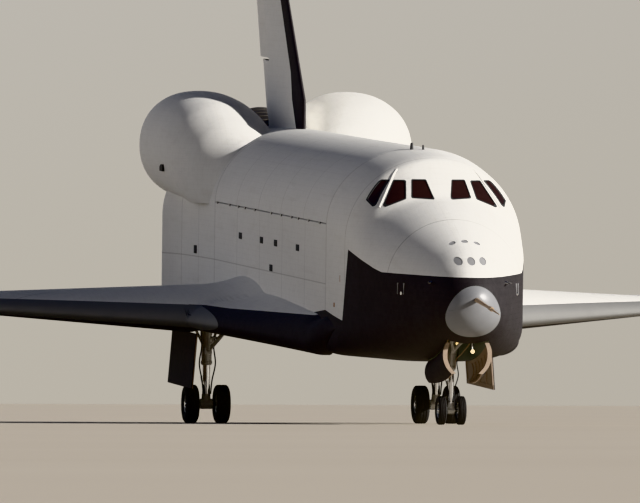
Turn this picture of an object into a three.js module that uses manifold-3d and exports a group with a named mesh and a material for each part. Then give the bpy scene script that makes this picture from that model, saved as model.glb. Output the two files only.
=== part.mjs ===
// A winged space shuttle orbiter, parked on its wheels, with a nose boom for air data.
// Airframe frame in millimetres: x to port, y aft from the nose tip, z up from the payload bay axis.
// The airframe is then pitched nose-down onto its wheels. Row frame: nose towards -Y, port +X, up +Z.

import * as THREE from "three";
import Module from "manifold-3d";

const wasm = await Module();
wasm.setup();

// Driving dimensions
const GAP = 0.5; // between fixed pieces that touch
const MERGE = 1e-3; // vertices closer than this are one
const SIDES = { port: 1, starboard: -1 };

const LENGTH_MID = 16600; // airframe station that comes over the row's origin
const FORWARD_END = 8838; // rear face of the forward fuselage
const AFT_START = 27204; // front face of the aft fuselage
const BASE = 32385; // rear face of the aft fuselage
const BODY_HALF = 2667; // half width of the mid fuselage
const BELLY = -3430;
const CREST = 2540;
const SILL = 340; // top of the mid fuselage's sides
const BAY_RADIUS = 2286;
const SKIN = 130; // wall of the crew cabin

const DOOR_START = 8850;
const DOOR_END = 27190;
const DOOR_THICK = 100;
const DOOR_HINGE = { x: 2685, z: 350 };

const WING_TIP = 11896;
const WING_BREAK = 4750; // where the glove's leading edge meets the wing's
const WING_LE_AT_CENTRE = 15240; // 45 degree leading edge, carried to the centre line
const WING_TE_AT_CENTRE = 32746;
const WING_TE_SLOPE = -0.17733;
const GLOVE_START = 6830;
const GLOVE_SLOPE = 6.32;
const DIHEDRAL = 3.5;
const WING_THICKNESS = 0.108; // share of the chord
const WING_BASE = -3422; // lower surface at the root
const ELEVON_HINGE = 29235;
const ELEVON_SPLIT = 7938;
const ELEVON_INBOARD = 3440;
const ELEVON_REST = 9; // degrees, trailing edge up
const EDGE_BAND = 430; // chordwise width of the leading edge panels

const FLAP_HINGE = { y: 32918, z: -2800 };
const FLAP_END = 34976;
const FLAP_HALF = 3160;

const FIN_ROOT = { z: 2616, le: 26467, te: 33287 };
const FIN_TIP = { z: 10635, le: 34488, te: 37241 };
const FIN_HINGE_SHARE = 0.6;
const FIN_HALF_SHARE = 0.0525; // half thickness as a share of the chord
const RUDDER_BOTTOM = 4550;
const RUDDER_TOP = 9690;
const BRAKE_REST = 2; // degrees that each speed brake panel stands open

const MAIN = { x: 3455, y: 23876, z: -5500, radius: 565, spacing: 930, width: 410 };
const NOSE = { y: 3607, z: -4690, radius: 406, spacing: 560, width: 224 };
const MAIN_WELL = { x0: 2730, x1: 4330, y0: 20270, y1: 24360, roof: -2560 };
const NOSE_WELL = { x: 600, y0: 1150, y1: 3980, roof: -2050 };

const V = (x, y, z) => new THREE.Vector3(x, y, z);
const rad = (degrees) => (degrees * Math.PI) / 180;
const mix = (a, b, t) => a + (b - a) * t;

// Solids from vertices and triangles
function closed(points, faces) {
  const index = new Map();
  const kept = [];
  const number = points.map((p) => {
    const key = [p.x, p.y, p.z].map((v) => Math.round(v / MERGE)).join(",");
    if (!index.has(key)) {
      index.set(key, kept.length / 3);
      kept.push(p.x, p.y, p.z);
    }
    return index.get(key);
  });
  let triangles = faces
    .map((f) => f.map((i) => number[i]))
    .filter(([a, b, c]) => a !== b && b !== c && c !== a);
  const at = (i) => V(kept[3 * i], kept[3 * i + 1], kept[3 * i + 2]);
  let volume = 0;
  for (const [a, b, c] of triangles) volume += at(a).dot(at(b).cross(at(c)));
  if (volume < 0) triangles = triangles.map(([a, b, c]) => [a, c, b]);
  return new wasm.Manifold(
    new wasm.Mesh({
      numProp: 3,
      vertProperties: new Float32Array(kept),
      triVerts: new Uint32Array(triangles.flat()),
    }),
  );
}

// A skin over rings of equal count; flat caps by fan, or by ear cutting for a hollow outline
function loft(rings, cap = "fan") {
  const n = rings[0].length;
  const points = rings.flat();
  const faces = [];
  for (let k = 0; k + 1 < rings.length; k++)
    for (let j = 0; j < n; j++) {
      const a = k * n + j;
      const b = k * n + ((j + 1) % n);
      faces.push([a, b, b + n], [a, b + n, a + n]);
    }
  [0, rings.length - 1].forEach((k) => {
    const ring = rings[k];
    const start = k * n;
    const flip = k === 0;
    const add = (a, b, c) => faces.push(flip ? [a, c, b] : [a, b, c]);
    if (cap === "fan") {
      const middle = ring.reduce((s, p) => s.add(p), V(0, 0, 0)).multiplyScalar(1 / n);
      points.push(middle);
      for (let j = 0; j < n; j++) add(points.length - 1, start + j, start + ((j + 1) % n));
    } else {
      const normal = V(0, 0, 0);
      ring.forEach((p, j) => normal.add(p.clone().cross(ring[(j + 1) % n])));
      const size = [Math.abs(normal.x), Math.abs(normal.y), Math.abs(normal.z)];
      const drop = size.indexOf(Math.max(...size));
      const flat = ring.map((p) => {
        const c = p.toArray();
        c.splice(drop, 1);
        return new THREE.Vector2(c[0], c[1]);
      });
      const turn = Math.sign(THREE.ShapeUtils.area(flat));
      for (const [a, b, c] of THREE.ShapeUtils.triangulateShape(flat, [])) {
        const same = Math.sign(THREE.ShapeUtils.area([flat[a], flat[b], flat[c]])) === turn;
        if (same) add(start + a, start + b, start + c);
        else add(start + a, start + c, start + b);
      }
    }
  });
  return closed(points, faces);
}

function box(x0, x1, y0, y1, z0, z1) {
  const ring = (y) => [V(x0, y, z0), V(x1, y, z0), V(x1, y, z1), V(x0, y, z1)];
  return loft([ring(y0), ring(y1)]);
}

// Prisms over an outline in the two axes other than the named one
function prism(axis, outline, from, to) {
  const place = {
    x: (s, [a, b]) => V(s, a, b),
    y: (s, [a, b]) => V(a, s, b),
    z: (s, [a, b]) => V(a, b, s),
  }[axis];
  return loft([from, to].map((s) => outline.map((p) => place(s, p))), "ear");
}

function frameAlong(direction) {
  const d = direction.clone().normalize();
  const side = Math.abs(d.z) > 0.9 ? V(1, 0, 0) : V(0, 0, 1);
  const u = side.clone().cross(d).normalize();
  return { d, u, v: d.clone().cross(u) };
}

function circle(centre, direction, radius, count) {
  const { u, v } = frameAlong(direction);
  return Array.from({ length: count }, (_, i) => {
    const a = (2 * Math.PI * i) / count;
    return centre
      .clone()
      .addScaledVector(u, radius * Math.cos(a))
      .addScaledVector(v, radius * Math.sin(a));
  });
}

function rod(from, to, radius, endRadius = radius, count = 14) {
  const d = to.clone().sub(from);
  return loft([circle(from, d, radius, count), circle(to, d, endRadius, count)]);
}

// A closed profile of [radius, distance along the axis], turned about the axis
function revolve(profile, origin, direction, count = 24) {
  const { d, u, v } = frameAlong(direction);
  const n = profile.length;
  const points = [];
  const faces = [];
  for (let k = 0; k < count; k++) {
    const a = (2 * Math.PI * k) / count;
    for (const [r, h] of profile)
      points.push(
        origin
          .clone()
          .addScaledVector(d, h)
          .addScaledVector(u, r * Math.cos(a))
          .addScaledVector(v, r * Math.sin(a)),
      );
    for (let j = 0; j < n; j++) {
      const next = ((k + 1) % count) * n;
      const p = k * n + j;
      const q = k * n + ((j + 1) % n);
      faces.push([p, next + j, q], [q, next + j, next + ((j + 1) % n)]);
    }
  }
  return closed(points, faces);
}

const join = (...parts) => parts.reduce((a, b) => a.add(b));
const cut = (body, ...tools) => tools.reduce((a, b) => a.subtract(b), body);

// Fuselage sections: half width, top, upper and lower end of the upright side, bottom, corner powers
const SECTION = ["y", "half", "top", "high", "low", "bottom", "upper", "lower"];
const FORWARD = [
  [0, 40, -1400, -1440, -1440, -1490, 2, 2],
  [60, 290, -1215, -1560, -1560, -1830, 2, 2],
  [180, 500, -1050, -1680, -1680, -2080, 2, 2],
  [420, 735, -770, -1760, -1760, -2330, 2, 2],
  [750, 930, -470, -1750, -1800, -2500, 2, 2.1],
  [1200, 1150, -180, -1650, -1850, -2720, 2, 2.2],
  [1800, 1370, 90, -1500, -1900, -2930, 2, 2.3],
  [2700, 1700, 440, -1300, -1950, -3130, 2, 2.5],
  [3700, 2010, 790, -1050, -2050, -3270, 2, 2.7],
  [4700, 2240, 1090, -750, -2150, -3360, 2, 3],
  [5250, 2350, 1250, -500, -2200, -3390, 2, 3],
  [5700, 2420, 1640, -400, -2230, -3410, 2, 3],
  [6100, 2470, 1985, -250, -2270, -3425, 2, 3.1],
  [6450, 2510, 2270, -100, -2300, -3430, 2, 3.2],
  [6900, 2560, 2370, 0, -2400, -3430, 2, 3.4],
  [7722, 2625, 2440, 150, -2550, -3430, 2, 4],
  [FORWARD_END, BODY_HALF, CREST, 300, -2800, BELLY, 2, 5],
];
const MIDDLE = [
  [FORWARD_END, BODY_HALF, CREST, 300, -2800, BELLY, 2, 5],
  [AFT_START, BODY_HALF, CREST, 300, -2800, BELLY, 2, 5],
];
const REAR = [
  [AFT_START, BODY_HALF, CREST, 300, -2800, BELLY, 2, 5],
  [29300, 2790, 2530, 240, -2750, -3300, 2, 5],
  [31300, 2990, 2500, 0, -2600, -3080, 2, 5],
  [31900, 3150, 2490, -100, -2550, -3010, 2, 5],
  [BASE, 3370, 2480, -200, -2500, -2960, 2, 5],
];
const rows = (table) => table.map((r) => Object.fromEntries(SECTION.map((k, i) => [k, r[i]])));

function section(table, y) {
  const list = rows(table);
  if (y <= list[0].y) return { ...list[0], y };
  for (let i = 1; i < list.length; i++)
    if (y <= list[i].y) {
      const t = (y - list[i - 1].y) / (list[i].y - list[i - 1].y);
      return Object.fromEntries(SECTION.map((k) => [k, mix(list[i - 1][k], list[i][k], t)]));
    }
  return { ...list[list.length - 1], y };
}

// Height of the nose's underside at station y, x from the centre line
function bellyAt(y, x) {
  const s = section(FORWARD, y);
  return s.low - (s.low - s.bottom) * (1 - (x / s.half) ** s.lower) ** (1 / s.lower);
}

const UPPER_STEPS = 7;
const LOWER_STEPS = 5;

// The port half of a section from top centre to bottom centre, grown outwards by some millimetres
function halfSection(s, grow = 0) {
  const half = [];
  const quarter = Math.PI / 2;
  for (let i = 0; i <= UPPER_STEPS; i++) {
    const a = (quarter * i) / UPPER_STEPS;
    half.push([
      (s.half + grow) * Math.sin(a) ** (2 / s.upper),
      s.high + (s.top + grow - s.high) * Math.cos(a) ** (2 / s.upper),
    ]);
  }
  for (let i = 0; i <= LOWER_STEPS; i++) {
    const a = (quarter * i) / LOWER_STEPS;
    half.push([
      (s.half + grow) * Math.cos(a) ** (2 / s.lower),
      s.low - (s.low - s.bottom + grow) * Math.sin(a) ** (2 / s.lower),
    ]);
  }
  half[0][0] = 0;
  half[half.length - 1][0] = 0;
  return half;
}

function bodyRing(s, grow = 0) {
  const half = halfSection(s, grow);
  const other = half
    .slice(1, -1)
    .reverse()
    .map(([x, z]) => [-x, z]);
  return [...half, ...other].map(([x, z]) => V(x, s.y, z));
}

// The solid body of a table, or the same grown on every side as a tool that leaves a gap
function hull(table, grow = 0) {
  const list = rows(table);
  const rings = list.map((s) => bodyRing(s, grow));
  if (grow) {
    rings[0].forEach((p) => (p.y -= grow));
    rings[rings.length - 1].forEach((p) => (p.y += grow));
  }
  return loft(rings);
}

const pieces = [];
function piece(name, solid, material) {
  pieces.push({ name, solid, material });
  return solid;
}

// Surfaces
const MATERIAL = {
  white: { color: 0xe6e4df, roughness: 0.7, metalness: 0 },
  black: { color: 0x2a2628, roughness: 0.8, metalness: 0 },
  nose: { color: 0x9aa0a6, roughness: 0.6, metalness: 0 },
  edge: { color: 0x8d8b84, roughness: 0.7, metalness: 0 },
  glass: { color: 0x14110f, roughness: 0.08, metalness: 0 },
  inside: { color: 0x8a8f8c, roughness: 0.8, metalness: 0 },
  bay: { color: 0xb9b8ae, roughness: 0.7, metalness: 0.1 },
  seat: { color: 0x3b4038, roughness: 0.9, metalness: 0 },
  bell: { color: 0x4a4642, roughness: 0.5, metalness: 0.6 },
  boom: { color: 0xb98a5e, roughness: 0.6, metalness: 0.1 },
  strut: { color: 0xc9c9c6, roughness: 0.4, metalness: 0.4 },
  chrome: { color: 0xdedede, roughness: 0.15, metalness: 1 },
  tyre: { color: 0x1c1b1b, roughness: 0.9, metalness: 0 },
  hub: { color: 0xb5b5b2, roughness: 0.4, metalness: 0.6 },
  door: { color: 0x3a3436, roughness: 0.8, metalness: 0 },
};

// Forward fuselage, nose cap and thruster module
const forwardSolid = hull(FORWARD);
const rim = (shift) =>
  prism(
    "x",
    [
      [-4000, 0],
      [-236 + shift, 0],
      [1348 + shift, -4000],
      [-4000, -4000],
    ],
    -2000,
    2000,
  );
piece("nose_cap", forwardSolid.intersect(rim(0)), "nose");

const moduleOutline = (grow) => [
  [560 - grow, -780 - grow],
  [3380 + grow, -120 - grow],
  [3380 + grow, 1600],
  [560 - grow, 1600],
];
const THRUSTER_X = [-350, 0, 350];
const thrusterPorts = THRUSTER_X.flatMap((x) => [
  rod(V(x, 500, -390), V(x, 1250, -390), 110, 110, 12),
  rod(V(x, 1900, 400), V(x, 1900, -140), 95, 95, 12),
]);
piece(
  "forward_thruster_module",
  cut(forwardSolid.intersect(prism("x", moduleOutline(0), -2500, 2500)), ...thrusterPorts),
  "white",
);

const CABIN = { front: 4330, back: 8560, floor: -2000 };
const cabinRows = [CABIN.front, 4700, 5250, 5700, 6100, 6450, 6900, 7722, CABIN.back];
const cabin = (inset) =>
  loft(cabinRows.map((y) => bodyRing(section(FORWARD, y), -inset))).intersect(
    box(-3000, 3000, 4000, 9000, CABIN.floor, 3000),
  );

// Windscreen panes as outlines: x and z seen from the front, then y and z seen from the side
const FRONT_PANES = [
  [
    [255, 1215],
    [840, 1240],
    [750, 1715],
    [385, 1715],
  ],
  [
    [1030, 1210],
    [1640, 965],
    [1235, 1690],
    [945, 1690],
  ],
];
const SIDE_PANE = [
  [5760, 960],
  [6190, 1150],
  [6350, 1690],
  [6210, 1690],
];
const paneCuts = Object.values(SIDES).flatMap((s) => [
  ...FRONT_PANES.map((pane) => prism("y", pane.map(([x, z]) => [s * x, z]), 4900, 6900)),
  prism("x", SIDE_PANE, s * 1250, s * 2500),
]);

const HATCH = { y: 4950, z: -1050, radius: 508, hinge: 2305 };
const hatchCylinder = (radius) =>
  rod(V(1500, HATCH.y, HATCH.z), V(3000, HATCH.y, HATCH.z), radius, radius, 28);

const noseWell = box(
  -NOSE_WELL.x,
  NOSE_WELL.x,
  NOSE_WELL.y0,
  NOSE_WELL.y1,
  -5000,
  NOSE_WELL.roof,
);
const cabinWalls = cut(forwardSolid, cabin(SKIN));
piece(
  "forward_fuselage",
  cut(
    cabinWalls,
    rim(0.6),
    prism("x", moduleOutline(GAP), -2500, 2500),
    ...paneCuts,
    hatchCylinder(HATCH.radius + 8),
    noseWell,
  ),
  "white",
);
// The hatch's edge tapers inwards, so that it swings out past the wall
const hatchNormal = V(0.978, -0.2069, 0);
const hatchMiddle = V(2290, HATCH.y, HATCH.z);
const hatchTaper = rod(
  hatchMiddle.clone().addScaledVector(hatchNormal, -400),
  hatchMiddle.clone().addScaledVector(hatchNormal, 200),
  HATCH.radius - 130,
  HATCH.radius + 65,
  28,
);
piece(
  "crew_hatch",
  cabinWalls.intersect(hatchCylinder(HATCH.radius)).intersect(hatchTaper),
  "white",
);

// One curved band of glass behind the six openings
const glassZone = box(-2600, 2600, 5000, 6420, 900, 1800);
piece(
  "windshield_glass",
  cut(cabin(SKIN + GAP), cabin(SKIN + 30)).intersect(glassZone),
  "glass",
);

const DECK = { y0: 5650, y1: 8400, z0: -190, z1: -110 };
piece(
  "flight_deck_floor",
  cut(
    cabin(SKIN + GAP).intersect(box(-3000, 3000, DECK.y0, DECK.y1, DECK.z0, DECK.z1)),
    box(900, 1700, 7300, 8150, DECK.z0 - 10, DECK.z1 + 10),
  ),
  "inside",
);
piece(
  "instrument_panel",
  loft([
    [V(-1250, 5760, -109), V(-1250, 5760, 700), V(-1250, 5980, 700), V(-1250, 6120, -109)],
    [V(1250, 5760, -109), V(1250, 5760, 700), V(1250, 5980, 700), V(1250, 6120, -109)],
  ]),
  "inside",
);
for (const [side, s] of Object.entries(SIDES)) {
  const x = 640 * s;
  piece(
    "seat_" + side,
    join(
      box(x - 180, x + 180, 6700, 7150, DECK.z1 + GAP, 250),
      box(x - 260, x + 260, 6600, 7200, 240, 360),
      box(x - 260, x + 260, 7080, 7220, 350, 1150),
    ),
    "seat",
  );
}

// Nose boom
piece(
  "air_data_boom",
  join(
    rod(V(0, -3300, -1705), V(0, -2300, -1612), 12, 34, 12),
    rod(V(0, -2310, -1613), V(0, -6, -1434), 34, 62, 12),
    rod(V(0, -2240, -1607), V(0, -1900, -1580), 60, 60, 12),
  ).subtract(forwardSolid),
  "boom",
);

// Mid fuselage and payload bay doors
const middleSolid = hull(MIDDLE);
piece(
  "mid_fuselage",
  cut(
    middleSolid.intersect(box(-4000, 4000, FORWARD_END + GAP, AFT_START - GAP, -4000, SILL)),
    rod(V(0, 8000, 0), V(0, 28000, 0), BAY_RADIUS, BAY_RADIUS, 32),
  ),
  "white",
);
function doorRing(y, s) {
  const outer = [];
  const steps = 9;
  const from = Math.asin(0.9999);
  for (let i = 0; i <= steps; i++) {
    const a = mix(0.004, from, i / steps);
    outer.push([BODY_HALF * Math.sin(a), 300 + (CREST - 300) * Math.cos(a)]);
  }
  outer[steps] = [BODY_HALF, 380];
  outer[0][0] = 4;
  const inner = outer
    .map(([x, z]) => {
      const r = Math.hypot(x, z);
      return [(x * (r - DOOR_THICK)) / r, (z * (r - DOOR_THICK)) / r];
    })
    .reverse();
  inner[inner.length - 1][0] = 4;
  inner[0][1] = 380;
  return [...outer, ...inner].map(([x, z]) => V(s * x, y, z));
}
for (const [side, s] of Object.entries(SIDES)) {
  const knuckles = [9600, 13900, 18020, 22140, 26400].map((y) =>
    box(
      Math.min(s * 2600, s * 2675),
      Math.max(s * 2600, s * 2675),
      y - 120,
      y + 120,
      350,
      400,
    ),
  );
  piece(
    "payload_bay_door_" + side,
    join(loft([doorRing(DOOR_START, s), doorRing(DOOR_END, s)], "ear"), ...knuckles),
    "white",
  );
}

// Aft fuselage
const rearSolid = hull(REAR);
const rearFoot = box(-3200, 3200, BASE - 200, FLAP_HINGE.y - 230, -2960, -2500);
const podShell = [
  // y, centre x, centre z, half width, half height
  [27290, 1850, 1500, 420, 300],
  [27700, 1950, 1560, 900, 760],
  [28500, 2080, 1660, 1300, 1180],
  [29600, 2180, 1800, 1560, 1500],
  [30800, 2230, 1880, 1690, 1570],
  [32200, 2250, 1900, 1740, 1630],
  [33200, 2250, 1890, 1700, 1610],
  [33900, 2250, 1860, 1560, 1450],
];
const podRing = ([y, cx, cz, hw, hh], s, grow = 0) =>
  Array.from({ length: 24 }, (_, i) => {
    const a = (2 * Math.PI * i) / 24;
    const p = 2 / 2.3;
    const c = Math.cos(a);
    const d = Math.sin(a);
    return V(
      s * (cx + (hw + grow) * Math.sign(c) * Math.abs(c) ** p),
      y,
      cz + (hh + grow) * Math.sign(d) * Math.abs(d) ** p,
    );
  });
const ENGINES = [
  { name: "engine_nozzle_upper", x: 0, y: 31000, z: 1170, pitch: 10, yaw: 0 },
  { name: "engine_nozzle_port", x: 1346, y: 31000, z: -1380, pitch: 8, yaw: 3.5 },
  { name: "engine_nozzle_starboard", x: -1346, y: 31000, z: -1380, pitch: 8, yaw: -3.5 },
];
const ENGINE = { length: 3950, exit: 1170, throat: 330, start: 1500 };
const engineAxis = (e) =>
  V(Math.sin(rad(e.yaw)), 1, Math.sin(rad(e.pitch))).normalize();
const upper = ENGINES[0];
const bellClearance = rod(
  V(0, upper.y, upper.z).addScaledVector(engineAxis(upper), 1000),
  V(0, upper.y, upper.z).addScaledVector(engineAxis(upper), 5000),
  1240,
  1400,
  28,
).intersect(box(-5000, 5000, BASE, 40000, -5000, 9000));
piece(
  "aft_fuselage",
  join(rearSolid.intersect(box(-4000, 4000, AFT_START, BASE, -4000, 4000)), rearFoot),
  "white",
);
for (const e of ENGINES) {
  const bell = [];
  const steps = 6;
  const radiusAt = (t) => mix(ENGINE.throat, ENGINE.exit, Math.sin((t * Math.PI) / 2) ** 0.85);
  const start = ENGINE.start;
  for (let i = 0; i <= steps; i++) {
    const t = i / steps;
    bell.push([radiusAt(t), mix(start, ENGINE.length, t)]);
  }
  for (let i = steps; i >= 0; i--) {
    const t = i / steps;
    bell.push([radiusAt(t) - 45, mix(start + 60, ENGINE.length, t)]);
  }
  bell.push([0, start + 60], [0, start]);
  const nozzle = revolve(bell, V(e.x, e.y, e.z), engineAxis(e), 24);
  piece(e.name, nozzle.subtract(hull(REAR, GAP)), "bell");
}
for (const [side, s] of Object.entries(SIDES)) {
  const pod = loft(podShell.map((r) => podRing(r, s))).intersect(
    box(-6000, 6000, AFT_START + 60, 40000, 280, 5000),
  );
  const inner = box(Math.min(s * 420, s * 9000), Math.max(s * 420, s * 9000), 0, 50000, -9000, 9000);
  piece(
    "oms_pod_" + side,
    cut(pod.intersect(inner), hull(REAR, GAP), bellClearance),
    "white",
  );
  const at = V(s * 2350, 33900 + GAP, 1750);
  piece(
    "oms_nozzle_" + side,
    revolve(
      [
        [150, 0],
        [240, 120],
        [380, 420],
        [460, 800],
        [435, 800],
        [350, 440],
        [200, 160],
        [0, 100],
        [0, 0],
      ],
      at,
      V(s * 0.1, 1, 0.28),
      20,
    ).subtract(box(-9000, 9000, 30000, 33900 + GAP, -9000, 9000)),
    "bell",
  );
}

// Wings
const tanDihedral = Math.tan(rad(DIHEDRAL));
const lowerAt = (x) => WING_BASE + Math.max(0, x - BODY_HALF) * tanDihedral;
const gloveEdge = (x) => GLOVE_START + (Math.max(x, BODY_HALF) - BODY_HALF) * GLOVE_SLOPE;
const mainEdge = (x) => WING_LE_AT_CENTRE + x;
const leadingEdge = (x) => (x < WING_BREAK ? gloveEdge(x) : mainEdge(x));
const trailingEdge = (x) => WING_TE_AT_CENTRE + WING_TE_SLOPE * x;
const NACA = (c) =>
  10 *
  (0.2969 * Math.sqrt(c) - 0.126 * c - 0.3516 * c ** 2 + 0.2843 * c ** 3 - 0.1036 * c ** 4);

// Heights of the lower and upper surface over the lower plane, at span x and station y
function wingHeights(x, y) {
  const chord = trailingEdge(x) - mainEdge(x);
  const full = WING_THICKNESS * chord;
  const c = (y - mainEdge(x)) / chord;
  let low = Infinity;
  let high = -Infinity;
  if (c >= 0) {
    const front = c < 0.3;
    const g = Math.max(NACA(Math.min(c, 1)), 0.012);
    const e = front ? 0.33 * full * (1 - g) : 0;
    low = e;
    high = front ? 0.33 * full + 0.67 * full * g : full * g;
  }
  const edge = BODY_HALF + (y - GLOVE_START) / GLOVE_SLOPE;
  const u = (Math.max(x, BODY_HALF) - BODY_HALF) / Math.max(edge - BODY_HALF, 1);
  if (u <= 1 && y < 24000) {
    const tall = mix(520, 1180, Math.min(1, (y - GLOVE_START) / 3200));
    const r = Math.sqrt(Math.max(0, 1 - u * u));
    low = Math.min(low, 0.35 * tall * (1 - r));
    high = Math.max(high, 0.35 * tall + 0.65 * tall * r);
  }
  return [low, high];
}
const CHORD_SHARES = [0.012, 0.04, 0.09, 0.16, 0.25, 0.36, 0.5, 0.65, 0.8, 0.9, 1];
function wingRing(x, s, rear) {
  const le = leadingEdge(x);
  const base = lowerAt(x);
  const at = (share) => mix(le, rear, share);
  const edgeHeights = wingHeights(x, le + 1);
  const ring = [V(s * x, le, base + (edgeHeights[0] + edgeHeights[1]) / 2)];
  for (const f of CHORD_SHARES) ring.push(V(s * x, at(f), base + wingHeights(x, at(f))[1]));
  for (const f of [...CHORD_SHARES].reverse())
    ring.push(V(s * x, at(f), base + wingHeights(x, at(f))[0]));
  return ring;
}
const SPAN = [2350, 2667, 2900, 3200, 3600, 4100, 4550, 4750, 5600, 6800, 7938, 9900, WING_TIP];

// Elevon hinge line and nose radius at a span
const hingeThickness = (x) => wingHeights(x, ELEVON_HINGE)[1] - wingHeights(x, ELEVON_HINGE)[0];
const hingeHeight = (x) => lowerAt(x) + hingeThickness(x) / 2;
const ELEVONS = [
  { name: "elevon_inboard", x0: ELEVON_INBOARD, x1: ELEVON_SPLIT - 6 },
  { name: "elevon_outboard", x0: ELEVON_SPLIT + 6, x1: WING_TIP },
];
const hingeLine = (e, s) => ({
  from: V(s * e.x0, ELEVON_HINGE, hingeHeight(e.x0)),
  to: V(s * e.x1, ELEVON_HINGE, hingeHeight(e.x1)),
  r0: hingeThickness(e.x0) / 2 - 22,
  r1: hingeThickness(e.x1) / 2 - 22,
});

for (const [side, s] of Object.entries(SIDES)) {
  const rear = (x) => ELEVON_HINGE - 0.33 * (hingeThickness(x) / 2) - 10;
  const main = loft(SPAN.map((x) => wingRing(x, s, rear(x))));
  const stubRing = (x) => {
    const base = lowerAt(x);
    const ys = [28000, 29200, 30200, 31200, 32100];
    return [
      ...ys.map((y) => V(s * x, y, base + wingHeights(x, y)[1])),
      ...[...ys].reverse().map((y) => V(s * x, y, base + wingHeights(x, y)[0] + 2)),
    ];
  };
  const stub = loft([2350, 2900, 3400].map(stubRing));
  const coves = ELEVONS.map((e) => {
    const h = hingeLine(e, s);
    const d = h.to.clone().sub(h.from).normalize();
    return rod(
      h.from.clone().addScaledVector(d, -8),
      h.to.clone().addScaledVector(d, 400),
      h.r0 + 8,
      h.r1 + 8,
      28,
    );
  });
  const [x0, x1] = [s * MAIN_WELL.x0, s * MAIN_WELL.x1].sort((a, b) => a - b);
  const well = box(x0, x1, MAIN_WELL.y0, MAIN_WELL.y1, -6000, MAIN_WELL.roof);
  const whole = cut(
    join(main, stub),
    hull(FORWARD, GAP),
    hull(MIDDLE, GAP),
    hull(REAR, GAP),
    ...coves,
    well,
  );
  const band = (shift) =>
    prism(
      "z",
      [
        [s * 4300, mainEdge(4300) - 3500],
        [s * 4300, mainEdge(4300) + EDGE_BAND + shift],
        [s * 12500, mainEdge(12500) + EDGE_BAND + shift],
        [s * 12500, mainEdge(12500) - 3500],
      ],
      -6000,
      0,
    );
  piece("wing_leading_edge_" + side, whole.intersect(band(0)), "edge");
  piece("wing_" + side, whole.subtract(band(GAP).add(
    box(...[s * (4300 - GAP), s * 4310].sort((a, b) => a - b), 10000, mainEdge(4300) + EDGE_BAND, -6000, 0),
  )), "white");

  for (const e of ELEVONS) {
    const h = hingeLine(e, s);
    const d = h.to.clone().sub(h.from).normalize();
    const up = V(0, 0, 1).addScaledVector(d, -d.z).normalize();
    const tilt = rad(ELEVON_REST);
    const ringAt = (x, centre, radius) => {
      const length = trailingEdge(x) - ELEVON_HINGE;
      const list = [];
      for (let i = 0; i <= 8; i++) {
        const a = Math.PI / 2 + (Math.PI * i) / 8;
        list.push([radius * Math.cos(a), radius * Math.sin(a)]);
      }
      list.push([length * 0.5, -radius * 0.52 - 6], [length, -14], [length, 14]);
      list.push([length * 0.5, radius * 0.52 + 6]);
      return list.map(([a, b]) => {
        const y = a * Math.cos(tilt) - b * Math.sin(tilt);
        const z = a * Math.sin(tilt) + b * Math.cos(tilt);
        return centre.clone().add(V(0, y, 0)).addScaledVector(up, z);
      });
    };
    piece(
      e.name + "_" + side,
      loft([ringAt(e.x0, h.from, h.r0), ringAt(e.x1, h.to, h.r1)], "ear"),
      "white",
    );
  }
}

// Body flap
const flapSection = [
  ...Array.from({ length: 9 }, (_, i) => {
    const a = Math.PI / 2 + (Math.PI * i) / 8;
    return [FLAP_HINGE.y + 190 * Math.cos(a), FLAP_HINGE.z + 190 * Math.sin(a)];
  }),
  [FLAP_END, FLAP_HINGE.z - 110],
  [FLAP_END, FLAP_HINGE.z - 60],
];
piece("body_flap", prism("x", flapSection, -FLAP_HALF, FLAP_HALF), "black");

// Fin, rudder spine and speed brake panels
const finAt = (z) => {
  const t = (z - FIN_ROOT.z) / (FIN_TIP.z - FIN_ROOT.z);
  const le = mix(FIN_ROOT.le, FIN_TIP.le, t);
  const te = mix(FIN_ROOT.te, FIN_TIP.te, t);
  const chord = te - le;
  return { z, le, te, chord, hinge: le + FIN_HINGE_SHARE * chord, half: FIN_HALF_SHARE * chord };
};
const FIN_STATIONS = [CREST - 260, 3000, 3500, RUDDER_BOTTOM, 6300, 8100, RUDDER_TOP, FIN_TIP.z];
function finRing(z) {
  const f = finAt(z);
  const le = z < 3400 ? Math.max(f.le, AFT_START + 30) : f.le;
  const shares = [
    [0.0, 0.1],
    [0.02, 0.2],
    [0.12, 0.44],
    [0.35, 0.82],
    [0.6, 1],
    [0.8, 0.55],
    [1, 0.06],
  ];
  const right = shares.map(([c, w]) => V(w * f.half, mix(le, f.te, c), z));
  const left = shares.map(([c, w]) => V(-w * f.half, mix(le, f.te, c), z)).reverse();
  return [...right, ...left];
}
const finSolid = loft(FIN_STATIONS.map(finRing));
const hingeA = finAt(RUDDER_BOTTOM);
const hingeB = finAt(RUDDER_TOP);
const hingeFoot = V(0, hingeA.hinge, RUDDER_BOTTOM);
const hingeHead = V(0, hingeB.hinge, RUDDER_TOP);
const hingeDir = hingeHead.clone().sub(hingeFoot).normalize();
const aftDir = V(0, hingeDir.z, -hingeDir.y);
const FIN_TE_SLOPE = (FIN_TIP.te - FIN_ROOT.te) / (FIN_TIP.z - FIN_ROOT.z);
const coveRadius = (z) => finAt(z).half * 0.8;
const rudderWindow = (low, high, ahead) =>
  prism(
    "x",
    [
      [finAt(low).hinge - ahead, low],
      [finAt(high).hinge - ahead * 0.6, high],
      [40000, high],
      [40000, low],
    ],
    -1500,
    1500,
  );
const cove = rod(
  hingeFoot.clone().addScaledVector(hingeDir, -300),
  hingeHead.clone().addScaledVector(hingeDir, 200),
  coveRadius(RUDDER_BOTTOM) + 20,
  coveRadius(RUDDER_TOP) + 8,
  28,
).intersect(box(-2000, 2000, 0, 60000, RUDDER_BOTTOM - 75, RUDDER_TOP + 150));
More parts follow.
